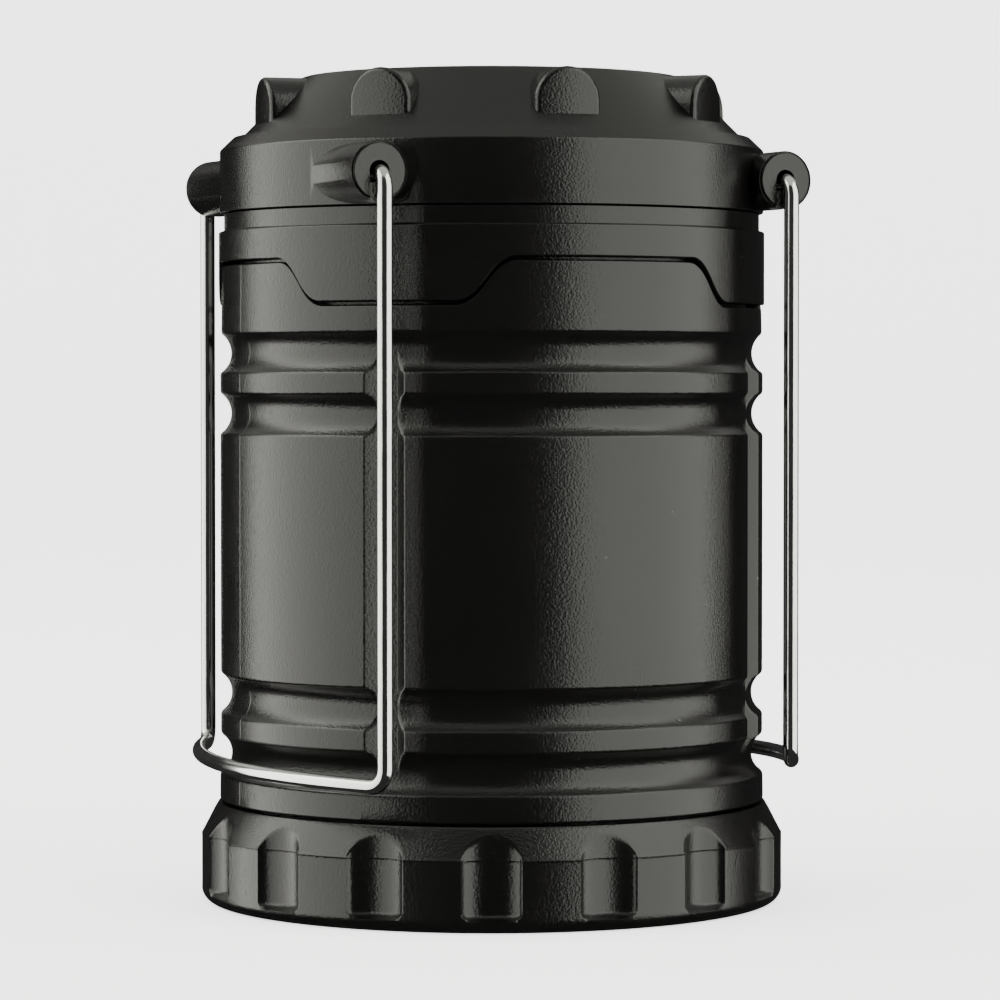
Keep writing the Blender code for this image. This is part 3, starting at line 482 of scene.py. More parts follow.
def solder_mask(name, colour, trace_colour):
    """Circuit board: glossy mask over faint copper traces, with fibre weave under it."""
    nodes = Nodes(name)
    weave_x = nodes.add("ShaderNodeTexWave", {"Vector": nodes.place, "Scale": 260.0}, bands_direction="X")
    weave_z = nodes.add("ShaderNodeTexWave", {"Vector": nodes.place, "Scale": 260.0}, bands_direction="Z")
    weave = nodes.maths("MULTIPLY", weave_x.outputs["Fac"], weave_z.outputs["Fac"])
    links = {"Vector": nodes.place, "Scale": 160.0, "Mortar Size": 0.05}
    traces = nodes.add("ShaderNodeTexBrick", links)
    shade = nodes.blend(nodes.span(traces.outputs["Fac"], 0.0, 1.0), colour, trace_colour)
    nodes.drive(colour=nodes.blend(nodes.span(weave, 0.0, 1.0, 0.0, 0.25), shade, lighter(colour, 0.7)))
    nodes.drive(roughness=nodes.span(nodes.noise(300.0), 0.3, 0.7, 0.28, 0.42))
    nodes.drive(normal=nodes.bump(weave, 0.00003, 0.3))
    return nodes.material


def phosphor():
    """Yellow phosphor gel over an LED die."""
    nodes = Nodes("yellow phosphor gel")
    grain = nodes.noise(2600.0, detail=2.0)
    nodes.drive(colour=nodes.blend(grain, (0.86, 0.72, 0.13), (0.93, 0.82, 0.28)), roughness=0.35)
    nodes.drive(normal=nodes.bump(grain, 0.00003, 0.4), coat=0.4, coat_roughness=0.12)
    return nodes.material


def rubber():
    nodes = Nodes("black seal rubber")
    bloom = nodes.noise(140.0, detail=5.0, roughness=0.7)
    nodes.drive(colour=nodes.blend(bloom, (0.012, 0.012, 0.012), (0.035, 0.034, 0.033)))
    nodes.drive(roughness=nodes.span(bloom, 0.3, 0.7, 0.55, 0.8))
    nodes.drive(normal=nodes.bump(nodes.noise(1800.0), 0.00004, 0.4))
    return nodes.material


def cell_sleeve():
    """Plain printed sleeve: a dark barrel with a coppery band at its positive end."""
    nodes = Nodes("battery sleeve")
    height = nodes.add("ShaderNodeSeparateXYZ", {"Vector": nodes.place}).outputs["Z"]
    band_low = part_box("cell_1")[1].z - 15.0 * MM
    band = nodes.span(height, band_low, band_low + 0.1 * MM)
    scuff = nodes.noise(260.0, detail=4.0)
    printed = nodes.blend(band, (0.05, 0.055, 0.065), (0.62, 0.34, 0.17))
    nodes.drive(colour=nodes.blend(nodes.span(scuff, 0.6, 0.8), printed, (0.30, 0.30, 0.30)))
    nodes.drive(roughness=nodes.span(scuff, 0.3, 0.7, 0.22, 0.38), metallic=0.55)
    nodes.drive(normal=nodes.bump(scuff, 0.00002, 0.25))
    return nodes.material


# ---------------------------------------------------------------- the black shells

WAVE_HIGH = SHELL_HIGH.z + 0.35 * MM
WAVE_LOW = SKIRT_LOW.z - 0.35 * MM
NOTCH_ANGLE = math.radians(47.0)
WAVE_HALF_DIP = math.radians(17.7)
WAVE_SLOPE = math.radians(6.6)
WAVE_SOFTNESS = math.radians(2.6)
LAND_RADIUS = 39.95 * MM
COLLAR_RADIUS = SHELL_HIGH.x
UPPER_COLLAR_RADIUS = 39.72 * MM
COLLAR_TOP = 18.8 * MM
LOWER_LAND = (24.8 * MM, 27.7 * MM)
PANEL = (33.7 * MM, 68.7 * MM)
UPPER_LAND = (74.7 * MM, 77.6 * MM)
UPPER_COLLAR = 83.4 * MM


def off_y_axis(angle):
    """Angle between a direction and the nearer end of the Y axis."""
    return np.arctan2(np.abs(np.cos(angle)), np.abs(np.sin(angle)))


def wave_height(angle):
    """Height of the wavy seam: crests on the axes, a dip over each notch, corners rounded over."""
    total = 0.0
    samples = 13
    for sample in range(samples):
        shifted = angle + WAVE_SOFTNESS * (2.0 * sample / (samples - 1) - 1.0)
        away = np.abs(off_y_axis(shifted) - NOTCH_ANGLE)
        total = total + np.clip((away - WAVE_HALF_DIP) / WAVE_SLOPE, 0.0, 1.0)
    return WAVE_LOW + (WAVE_HIGH - WAVE_LOW) * total / samples


def groove(bottom, top, upper_radius, lower_radius, floor_radius, steps=11):
    """A scooped groove between two rims, from its top edge down."""
    half = (top - bottom) / 2.0
    points = []
    for step in range(steps + 1):
        share = step / steps
        rim = upper_radius + (lower_radius - upper_radius) * share
        depth = rim - floor_radius
        radius = (half * half + depth * depth) / (2.0 * depth)
        spread = math.asin(half / radius)
        angle = spread * (1.0 - 2.0 * share)
        height = (top + bottom) / 2.0 + radius * math.sin(angle)
        points.append((floor_radius + radius * (1.0 - math.cos(angle)), height))
    return points


def eased_rims(points, amount):
    """Draws each groove's two sharp rims back a little, so that they catch the light."""
    eased = []
    for before, point, after in zip([points[0]] + points[:-1], points, points[1:] + [points[-1]]):
        first = Vector(before) - Vector(point)
        second = Vector(after) - Vector(point)
        sharp = first.length > 0.0 and second.length > 0.0 and first.angle(second) < math.radians(160.0)
        if not sharp:
            eased.append(point)
            continue
        reach_first = min(amount, first.length * 0.45)
        reach_second = min(amount, second.length * 0.45)
        start = Vector(point) + first.normalized() * reach_first
        end = Vector(point) + second.normalized() * reach_second
        middle = (start + end) / 2.0 * 0.5 + Vector(point) * 0.5
        eased += [tuple(start), tuple(middle), tuple(end)]
    return eased


class LANTERN_OT_body_shell(Operator):
    """Spins the grooved body, presses in its four upright notches and lifts its edge onto the wavy seam"""

    bl_idname = "lantern.body_shell"
    bl_label = "Body shell"

    def execute(self, context):
        sizes = context.scene.lantern_sizes
        floor = LAND_RADIUS - sizes.groove_depth
        top = WAVE_HIGH - sizes.seam_gap / 2.0
        skin = [(UPPER_COLLAR_RADIUS, top)]
        skin += groove(UPPER_LAND[1], UPPER_COLLAR, UPPER_COLLAR_RADIUS + 0.08 * MM, LAND_RADIUS, floor)
        skin += groove(PANEL[1], UPPER_LAND[0], LAND_RADIUS, LAND_RADIUS, floor)
        skin += groove(LOWER_LAND[1], PANEL[0], LAND_RADIUS, LAND_RADIUS, floor)
        skin += groove(COLLAR_TOP, LOWER_LAND[0], LAND_RADIUS, COLLAR_RADIUS - 0.06 * MM, floor)
        skin += [(COLLAR_RADIUS - 0.01 * MM, SHELL_LOW.z + 7.55 * MM)]
        outline = self.with_inside(eased_rims(skin, 0.34 * MM), sizes, top)
        shell = lathe("lantern_body_shell", outline, sizes.shell_steps)
        notches = [
            side * NOTCH_ANGLE + end for side in (-1.0, 1.0) for end in (math.pi / 2.0, -math.pi / 2.0)
        ]
        crowding = (notches + [0.0, math.pi], math.radians(5.2), 5.0)
        press(shell, lambda radius, angle, height: self.shaped(radius, angle, height, floor), crowding)
        material = grained_plastic("grained black plastic, body", context.scene.lantern_finish)
        finish_surface(shell, material, "body", ["body_shell"])
        return {"FINISHED"}

    def with_inside(self, skin, sizes, top):
        """Adds the rounded rim, the bore, the web and the spigot behind the outer skin."""
        edge = sizes.edge_round
        bore = 36.6 * MM
        rebate = 37.9 * MM
        rim = [(rebate, top), (rebate + edge * 0.5, top)]
        for step in range(5):
            angle = math.radians(90.0 * (1.0 - step / 4.0))
            rim.append((skin[0][0] - edge * (1.0 - math.cos(angle)), top - edge * (1.0 - math.sin(angle))))
        spigot_outer = 37.1 * MM
        spigot_inner = 35.2 * MM
        seal_groove = 35.8 * MM
        bottom = SHELL_LOW.z
        seam = bottom + 7.55 * MM
        below = [
            (skin[-1][0] - edge, seam - edge * 0.2),
            (spigot_outer, seam - edge * 0.2),
            (spigot_outer, 14.1 * MM),
            (seal_groove, 14.1 * MM),
            (seal_groove, 12.0 * MM),
            (spigot_outer, 12.0 * MM),
            (spigot_outer, bottom + 0.3 * MM),
            (spigot_outer - 0.3 * MM, bottom),
            (spigot_inner, bottom),
            (spigot_inner, 13.5 * MM),
            (29.0 * MM, 13.5 * MM),
            (29.0 * MM, 15.9 * MM),
            (bore, 15.9 * MM),
            (bore, 83.9 * MM),
            (rebate, 84.6 * MM),
            (rebate, 86.0 * MM),
        ]
        skin[-1] = (skin[-1][0], seam + edge)
        skin.append((skin[-1][0] - edge * 0.3, seam + edge * 0.3))
        return rim + skin[1:] + below

    def shaped(self, radius, angle, height, floor):
        """Presses in the chamfered notches, raises the mould's parting line and bends the top edge."""
        sideways = np.abs(off_y_axis(angle) - NOTCH_ANGLE) * radius
        half_floor = 1.45 * MM
        notch = floor + np.maximum(sideways - half_floor, 0.0)
        cut = soft_least(radius, notch, 0.09 * MM)
        in_range = (radius > 38.2 * MM) & (height > 21.8 * MM) & (height < 80.5 * MM)
        new_radius = np.where(in_range, np.maximum(cut, floor), radius)
        parting = 0.045 * MM * np.exp(-((radius * np.sin(angle) / (0.11 * MM)) ** 2))
        new_radius = np.where(radius > 38.2 * MM, new_radius + parting, new_radius)
        lifted = height > WAVE_HIGH - 2.0 * MM
        new_height = np.where(lifted, height + wave_height(angle) - WAVE_HIGH, height)
        return new_radius, new_height


class LANTERN_OT_head_skirt(Operator):
    """Spins the head's skirt and band, with the inner lip that closes the wavy seam from behind"""

    bl_idname = "lantern.head_skirt"
    bl_label = "Head skirt"

    def execute(self, context):
        sizes = context.scene.lantern_sizes
        low = WAVE_LOW + sizes.seam_gap / 2.0
        top = SKIRT_HIGH.z + 0.24 * MM
        outer = SKIRT_HIGH.x
        step_z = 98.2 * MM
        band = outer - 0.78 * MM
        lip_outer = 37.5 * MM
        lip_inner = 36.95 * MM
        flange = (94.2 * MM, 98.0 * MM)
        flange_bore = 33.35 * MM
        outline = rounded(
            [
                (lip_inner, top - 0.8 * MM, 0.0),
                (lip_inner, top),
                (band, top, 0.10 * MM),
                (band, step_z + 0.15 * MM, 0.10 * MM),
                (outer, step_z, 0.25 * MM),
                (outer, low, 0.25 * MM),
                (lip_outer, low, 0.1 * MM),
                (lip_outer, low - 1.6 * MM, 0.1 * MM),
                (lip_inner, low - 1.6 * MM, 0.1 * MM),
                (lip_inner, flange[0], 0.0),
                (flange_bore, flange[0], 0.2 * MM),
                (flange_bore, flange[1], 0.2 * MM),
                (lip_inner, flange[1], 0.0),
            ],
            sizes.edge_round,
        )
        skirt = lathe("lantern_head_skirt", outline, sizes.shell_steps)

        def shaped(radius, angle, height):
            moved = height < low + 1.5 * MM
            return radius, np.where(moved, height + wave_height(angle) - WAVE_LOW, height)

        press(skirt, shaped)
        material = grained_plastic("grained black plastic, head", context.scene.lantern_finish)
        finish_surface(skirt, material, "head", ["head_skirt"])
        return {"FINISHED"}


class LANTERN_OT_base_cap(Operator):
    """Spins the battery cover and presses sixteen round-footed finger scoops into it"""

    bl_idname = "lantern.base_cap"
    bl_label = "Battery cover"

    scoop_count = 16
    first_scoop = math.radians(-2.5 - 90.0)

    def execute(self, context):
        sizes = context.scene.lantern_sizes
        self.sizes = sizes
        self.outer = BASE_HIGH.x - 0.06 * MM
        top = BASE_HIGH.z
        wall_top = 10.2 * MM
        edge = 2.1 * MM
        skin = [
            (40.4 * MM - 0.5 * MM, top),
            (40.4 * MM - 0.15 * MM, top - 0.06 * MM),
            (40.4 * MM, top - 0.25 * MM),
        ]
        line = 0.06 * MM
        above = (self.outer + 0.035 * MM - line / 2.0, wall_top + line)
        skin += self.rows((40.4 * MM, top - 0.25 * MM), above, 17)
        skin += self.rows(above, (self.outer, wall_top - line), 3)
        foot_rows = 3.2 * MM
        skin += self.rows((self.outer, wall_top - line), (self.outer, foot_rows), 17)
        skin += self.rows((self.outer, foot_rows), (self.outer, edge), 9)
        for step in range(1, 11):
            angle = math.pi / 2.0 * step / 10.0
            skin.append((self.outer - edge * (1.0 - math.cos(angle)), edge * (1.0 - math.sin(angle))))
        inside = rounded(
            [
                (36.0 * MM, 0.0, 0.0),
                (35.2 * MM, 0.0, 0.1 * MM),
                (34.9 * MM, 0.5 * MM, 0.1 * MM),
                (0.0, 0.5 * MM, 0.0),
            ],
            0.1 * MM,
        )
        bore = 37.75 * MM
        back = [
            (0.0, 2.5 * MM),
            (bore - 0.6 * MM, 2.5 * MM),
            (bore, 3.1 * MM),
            (bore, top - 0.4 * MM),
            (bore + 0.4 * MM, top),
        ]
        cover = lathe("lantern_battery_cover", skin + inside + back, 800)
        half_scoop = math.radians(5.36)
        pitch = TURN / self.scoop_count
        edges = [
            self.first_scoop + pitch * scoop + side * half_scoop
            for scoop in range(self.scoop_count)
            for side in (-1.0, 1.0)
        ]
        press(cover, self.shaped, (edges, math.radians(0.8), 2.0))
        material = grained_plastic(
            "grained black plastic, base", context.scene.lantern_finish, tone=1.1, dust=0.35
        )
        finish_surface(cover, material, "cover", ["base_cap"], angle=38.0)
        return {"FINISHED"}

    def rows(self, start, end, count):
        first = Vector(start)
        last = Vector(end)
        return [tuple(first.lerp(last, step / count)) for step in range(1, count + 1)]

    def shaped(self, radius, angle, height):
        """Presses the scoops, which stop in a rounded foot, and raises the parting line."""
        scoop_radius = self.sizes.scoop_radius
        depth = self.sizes.scoop_depth
        pitch = TURN / self.scoop_count
        away = (angle - self.first_scoop + pitch / 2.0) % pitch - pitch / 2.0
        foot = 1.8 * MM
        foot_round = 1.1 * MM
        sunk = np.clip((foot + foot_round - height) / foot_round, 0.0, 1.0)
        left_of_round = np.sqrt(1.0 - sunk * sunk)
        corner_round = 2.0 * MM
        half = math.sqrt(scoop_radius**2 - (scoop_radius - depth) ** 2) - corner_round * (1.0 - left_of_round)
        share = np.clip(1.0 - (self.outer * np.sin(away) / half) ** 2, 0.0, 1.0)
        scooped = np.where(share * left_of_round > 0.0, self.outer - depth * share**0.62 * left_of_round, 1.0)
        cut = soft_least(radius, scooped, 0.08 * MM)
        outside = (radius > 38.6 * MM) & (height > foot * 0.6)
        line = 0.045 * MM * np.exp(-(((height - 10.2 * MM) / (0.05 * MM)) ** 2))
        return np.where(outside, cut + line, radius), height


class LANTERN_OT_top_cap(Operator):
    """Spins the cap, joins on its eight lugs and four pivot bosses, and bores the bosses"""

    bl_idname = "lantern.top_cap"
    bl_label = "Top cap"

    lug_count = 8
    first_lug = math.radians(-7.0)

    def execute(self, context):
        sizes = context.scene.lantern_sizes
        cap = self.spin_cap()
        boolean(cap, self.make_lugs(sizes), "UNION")
        boolean(cap, self.make_bosses(), "UNION")
        cap = boolean(cap, self.spin_cavity(), "DIFFERENCE")
        boolean(cap, self.make_screw_posts(), "UNION")
        boolean(cap, self.make_holes(), "DIFFERENCE")
        boolean(cap, self.make_slots(), "DIFFERENCE")
        material = grained_plastic("grained black plastic, cap", context.scene.lantern_finish)
        finish_surface(cap, material, "head", ["top_cap"], angle=30.0)
        return {"FINISHED"}

    def spin_cap(self):
        top = CAP_HIGH.z
        outline = rounded(
            [
                (0.0, top - 1.0 * MM, 0.0),
                (6.0 * MM, top - 1.0 * MM, 0.1 * MM),
                (6.4 * MM, top - 0.7 * MM, 0.1 * MM),
                (7.2 * MM, top - 0.7 * MM, 0.1 * MM),
                (7.6 * MM, top - 1.0 * MM, 0.1 * MM),
                (22.4 * MM, top - 1.0 * MM, 0.4 * MM),
                (23.0 * MM, top, 0.4 * MM),
                (28.1 * MM, top, 0.9 * MM),
                (37.05 * MM, 111.8 * MM, 0.1 * MM),
                (38.0 * MM, 112.0 * MM, 0.1 * MM),
                (39.98 * MM, 110.1 * MM, 0.5 * MM),
                (39.98 * MM, CAP_LOW.z, 0.12 * MM),
                (36.0 * MM, CAP_LOW.z, 0.0),
                (0.0, CAP_LOW.z, 0.0),
            ],
            0.3 * MM,
        )
        return lathe("lantern_top_cap", outline, 240, closed=False)

    def spin_cavity(self):
        bore = 37.2 * MM
        crown = 27.3 * MM
        points = [
            (0.0, 117.8 * MM, 0.0),
            (crown, 117.8 * MM, 0.5 * MM),
            (crown, 110.5 * MM, 0.4 * MM),
            (bore, 110.5 * MM, 0.5 * MM),
            (bore, CAP_LOW.z - MM, 0.0),
            (0.0, CAP_LOW.z - MM, 0.0),
        ]
        return lathe("cap_cavity", rounded(points, 0.4 * MM), 120, closed=False)

    def make_lugs(self, sizes):
        half = sizes.lug_width / 2.0
        face = 35.15 * MM
        arc_centre = 115.6 * MM
        foot = 112.6 * MM
        lug = new_primitive(
            "cap_lug", bpy.ops.mesh.primitive_circle_add, vertices=64, radius=half, fill_type="NGON",
            location=(0.0, -face, arc_centre), rotation=(math.pi / 2.0, 0.0, 0.0),
        )
        settle(lug)
        bpy.ops.object.mode_set(mode="EDIT")
        form = bmesh.from_edit_mesh(lug.data)
        for point in form.verts:
            if point.co.z < arc_centre - 0.01 * MM:
                point.co.x = math.copysign(half, point.co.x) if abs(point.co.x) > 0.01 * MM else 0.0
                point.co.z = (
                    foot if point.co.z < arc_centre - half * 0.5 else arc_centre - 0.5 * (arc_centre - foot)
                )
        bmesh.update_edit_mesh(lug.data)
        bpy.ops.mesh.select_all(action="SELECT")
        bpy.ops.mesh.remove_doubles(threshold=0.00001)
        bpy.ops.mesh.dissolve_limited(angle_limit=math.radians(0.5))
        bpy.ops.mesh.select_all(action="SELECT")
        bpy.ops.mesh.extrude_region_move(TRANSFORM_OT_translate={"value": (0.0, face - 27.8 * MM, 0.0)})
        bpy.ops.mesh.select_all(action="SELECT")
        bpy.ops.mesh.normals_make_consistent(inside=False)
        select_edges(lug, lambda edge: all(point.co.y < -face + 0.01 * MM for point in edge.verts))
        bpy.ops.mesh.bevel(offset=sizes.lug_round, segments=5, profile=0.5)
        strips = 12
        for strip in range(1, strips):
            bpy.ops.mesh.select_all(action="SELECT")
            cut = half * (2.0 * strip / strips - 1.0)
            bpy.ops.mesh.bisect(plane_co=(cut, 0.0, 0.0), plane_no=(1.0, 0.0, 0.0))
        bpy.ops.object.mode_set(mode="OBJECT")
        places = points_of(lug)
        bow = face - np.sqrt(face * face - places[:, 0] ** 2)
        places[:, 1] += np.where(places[:, 1] < -face + 1.5 * MM, bow, 0.0)
        lug.data.vertices.foreach_set("co", places.ravel())
        lug.data.update()
        return self.ring_of_copies(lug, self.lug_count, self.first_lug, "cap_lugs")

    def ring_of_copies(self, piece, count, first, name):
        copies = []
        for index in range(count):
            copy = piece.copy()
            copy.data = piece.data.copy()
            copy.data.transform(Matrix.Rotation(first + TURN * index / count, 4, "Z"))
            bpy.context.collection.objects.link(copy)
            copies.append(copy)
        bpy.data.objects.remove(piece, do_unlink=True)
        return join(copies, name)

    def at_each_pivot(self, name, make):
        """Joins four copies of a tool made for the pivot at +X and -Y."""
        parts = []
        for side_x in (1.0, -1.0):
            for side_y in (1.0, -1.0):
                part = make(side_x, side_y)
                parts.append(settle(part))
        return join(parts, name)

    def make_bosses(self):
        def boss(side_x, side_y):
            root = 16.0 * MM
            face = 31.7 * MM
            part = new_primitive(
                "boss", bpy.ops.mesh.primitive_cylinder_add, vertices=72, radius=4.2 * MM, depth=face - root,
                location=(side_x * PIVOT.x, side_y * (face + root) / 2.0, PIVOT.z),
                rotation=(-side_y * math.pi / 2.0, 0.0, 0.0),
            )
            settle(part)
            bpy.ops.object.mode_set(mode="EDIT")
            bpy.ops.mesh.select_mode(type="FACE")
            select_faces(part, lambda spot: spot.calc_center_median().y * side_y > face - 0.1 * MM)
            bpy.ops.mesh.inset(thickness=0.001 * MM)
            for shrink, push in ((0.02, 0.0), (0.10, -0.28), (0.14, -0.02), (0.0, 0.42)):
                bpy.ops.mesh.extrude_region_move(
                    TRANSFORM_OT_translate={"value": (0.0, side_y * push * MM, 0.0)}
                )
                scale = 1.0 - shrink / 4.0
                bpy.ops.transform.resize(
                    value=(scale, 1.0, scale), center_override=(side_x * PIVOT.x, 0.0, PIVOT.z)
                )
            bpy.ops.mesh.bevel(offset=0.25 * MM, segments=3, affect="EDGES")
            bpy.ops.object.mode_set(mode="OBJECT")
            return part

        return self.at_each_pivot("cap_bosses", boss)

    def make_holes(self):
        def hole(side_x, side_y):
            inner = 26.0 * MM
            outer = 33.0 * MM
            return new_primitive(
                "hole", bpy.ops.mesh.primitive_cylinder_add, vertices=48, radius=1.5 * MM,
                depth=outer - inner,
                location=(side_x * PIVOT.x, side_y * (outer + inner) / 2.0, PIVOT.z),
                rotation=(math.pi / 2.0, 0.0, 0.0),
            )

        return self.at_each_pivot("pivot_holes", hole)

    def make_slots(self):
        def slot(side_x, side_y):
            inner = 29.2 * MM
            outer = 33.0 * MM
            low = PIVOT.z - 5.2 * MM
            part = new_primitive(
                "slot", bpy.ops.mesh.primitive_cube_add, size=1.0,
                location=(side_x * PIVOT.x, side_y * (outer + inner) / 2.0, (low + PIVOT.z) / 2.0),
            )
            part.scale = (2.7 * MM, outer - inner, PIVOT.z - low)
            settle(part)
            bpy.ops.object.mode_set(mode="EDIT")
            bpy.ops.mesh.select_all(action="SELECT")
            bpy.ops.mesh.bevel(offset=0.25 * MM, segments=2)
            bpy.ops.object.mode_set(mode="OBJECT")
            return part

        return self.at_each_pivot("bail_slots", slot)

    def make_screw_posts(self):
        posts = []
        for quarter in range(4):
            angle = math.radians(45.0 + 90.0 * quarter)
            low = CAP_LOW.z + 0.35 * MM
            high = 111.2 * MM
            posts.append(
                new_primitive(
                    "post", bpy.ops.mesh.primitive_cylinder_add, vertices=32, radius=3.0 * MM,
                    depth=high - low,
                    location=(35.0 * MM * math.cos(angle), 35.0 * MM * math.sin(angle), (low + high) / 2.0),
                )
            )
        return settle(join(posts, "screw_posts"))


# ---------------------------------------------------------------- bails


class LANTERN_OT_bails(Operator):
    """Bends the two chromed wire bails and rounds over their cut ends"""

    bl_idname = "lantern.bails"
    bl_label = "Wire bails"

    def execute(self, context):
        sizes = context.scene.lantern_sizes
        material = chromed_wire(context.scene.lantern_finish)
        for name, side in (("left", -1.0), ("right", 1.0)):
            wire = self.bend(f"lantern_bail_{name}", side, sizes.wire_radius)
            finish_surface(wire, material, f"bail_{name}", [f"bail_{name}"], angle=40.0)
        return {"FINISHED"}

    def route(self, side, radius):
        """Centre line of the whole wire, evenly fine in its bends."""
        leg_y = BAIL_HIGH.y - radius - 0.01 * MM
        skew = 0.65 * MM
        bar_z = BAIL_LOW.z + radius + skew
        bow = BAIL_HIGH.x - radius - PIVOT.x - 0.01 * MM
        bend = 2.5 * MM
        half = [Vector((0.0, -26.6 * MM, PIVOT.z))]
        for step in range(13):
            angle = math.pi / 2.0 * step / 12.0
            out = leg_y - bend + bend * math.sin(angle)
            half.append(Vector((0.0, -out, PIVOT.z - bend * (1.0 - math.cos(angle)))))
        for share in (0.25, 0.5, 0.75):
            half.append(Vector((0.0, -leg_y, PIVOT.z + (bar_z - PIVOT.z) * share)))
        bow_radius = (leg_y * leg_y + bow * bow) / (2.0 * bow)
        spread = math.asin(leg_y / bow_radius)
        first = spread - bend / bow_radius
        corner = Vector((0.0, -leg_y, bar_z))
        before = corner + Vector((0.0, 0.0, bend))
        after = Vector((bow_radius * (math.cos(first) - 1.0) + bow, -bow_radius * math.sin(first), bar_z))
        for step in range(13):
            share = step / 12.0
            half.append(self.rounded_corner(before, corner, after, share))
        for step in range(1, 25):
            angle = first * (1.0 - step / 24.0)
            half.append(
                Vector((bow_radius * (math.cos(angle) - 1.0) + bow, -bow_radius * math.sin(angle), bar_z))
            )
        other = [Vector((point.x, -point.y, point.z)) for point in reversed(half[:-1])]
        whole = [Vector((side * (PIVOT.x + point.x), point.y, point.z)) for point in half + other]
        for point in whole:
            share = min((PIVOT.z - point.z) / (PIVOT.z - bar_z), 1.0)
            point.z -= side * skew * point.y / leg_y * share ** 8
        return whole

    def rounded_corner(self, before, corner, after, share):
        """A point on an even rational curve that leaves and arrives along the two straights."""
        weight = math.sqrt(0.5)
        first = (1.0 - share) ** 2
        middle = 2.0 * share * (1.0 - share) * weight
        last = share ** 2
        return (before * first + corner * middle + after * last) / (first + middle + last)

    def bend(self, name, side, radius):
        """Sweeps a round section along the route by extruding its ring from point to point."""
        route = self.route(side, radius)
        ends = 0.35 * MM
        sections = 28
        start = (route[1] - route[0]).normalized()
        wire = new_primitive(
            name, bpy.ops.mesh.primitive_circle_add, vertices=sections, radius=radius - ends,
            fill_type="NGON",
            location=route[0], rotation=start.to_track_quat("Z", "Y").to_euler(),
        )
        settle(wire)
        bpy.ops.object.mode_set(mode="EDIT")
        bpy.ops.mesh.select_all(action="SELECT")
        self.step_ring(route[0], route[0] + start * ends, start, start, radius / (radius - ends))
        places = (
            [route[0] + start * ends]
            + route[1:-1]
            + [route[-1] + (route[-2] - route[-1]).normalized() * ends]
        )
        heading = start
        for index in range(1, len(places)):
            if index < len(places) - 1:
                arriving = (places[index] - places[index - 1]).normalized()
                leaving = (places[index + 1] - places[index]).normalized()
                new_heading = (arriving + leaving).normalized()
            else:
                new_heading = (places[index] - places[index - 1]).normalized()
            self.step_ring(places[index - 1], places[index], heading, new_heading, 1.0)
            heading = new_heading
        self.step_ring(places[-1], route[-1], heading, heading, (radius - ends) / radius)
        bpy.ops.mesh.select_all(action="SELECT")
        bpy.ops.mesh.normals_make_consistent(inside=False)
        bpy.ops.object.mode_set(mode="OBJECT")
        return wire

    def step_ring(self, start, end, old_heading, new_heading, scale):
        """Extrudes the selected end face to the next point, and turns it to the new heading."""
        bpy.ops.mesh.extrude_region_move(TRANSFORM_OT_translate={"value": end - start})
        form = bmesh.from_edit_mesh(bpy.context.object.data)
        turn = old_heading.rotation_difference(new_heading).to_matrix()
        for point in form.verts:
            if point.select:
                point.co = end + (turn @ (point.co - end)) * scale
        bmesh.update_edit_mesh(bpy.context.object.data)


# ---------------------------------------------------------------- light column and lens


class LANTERN_OT_lens_tube(Operator):
    """Spins the clear lens tube with its rounded rims"""

    bl_idname = "lantern.lens_tube"
    bl_label = "Lens tube"

    def execute(self, context):
        outer = LENS_HIGH.x
        inner = outer - 1.6 * MM
        points = [
            (inner, LENS_HIGH.z - MM, 0.0),
            (inner, LENS_HIGH.z),
            (outer, LENS_HIGH.z),
            (outer, LENS_LOW.z),
            (inner, LENS_LOW.z),
            (inner, LENS_LOW.z + MM, 0.0),
        ]
        tube = lathe("lantern_lens_tube", rounded(points, 0.4 * MM), 192)
        finish_surface(tube, clear_plastic(), "head", ["lens_tube"])
        return {"FINISHED"}


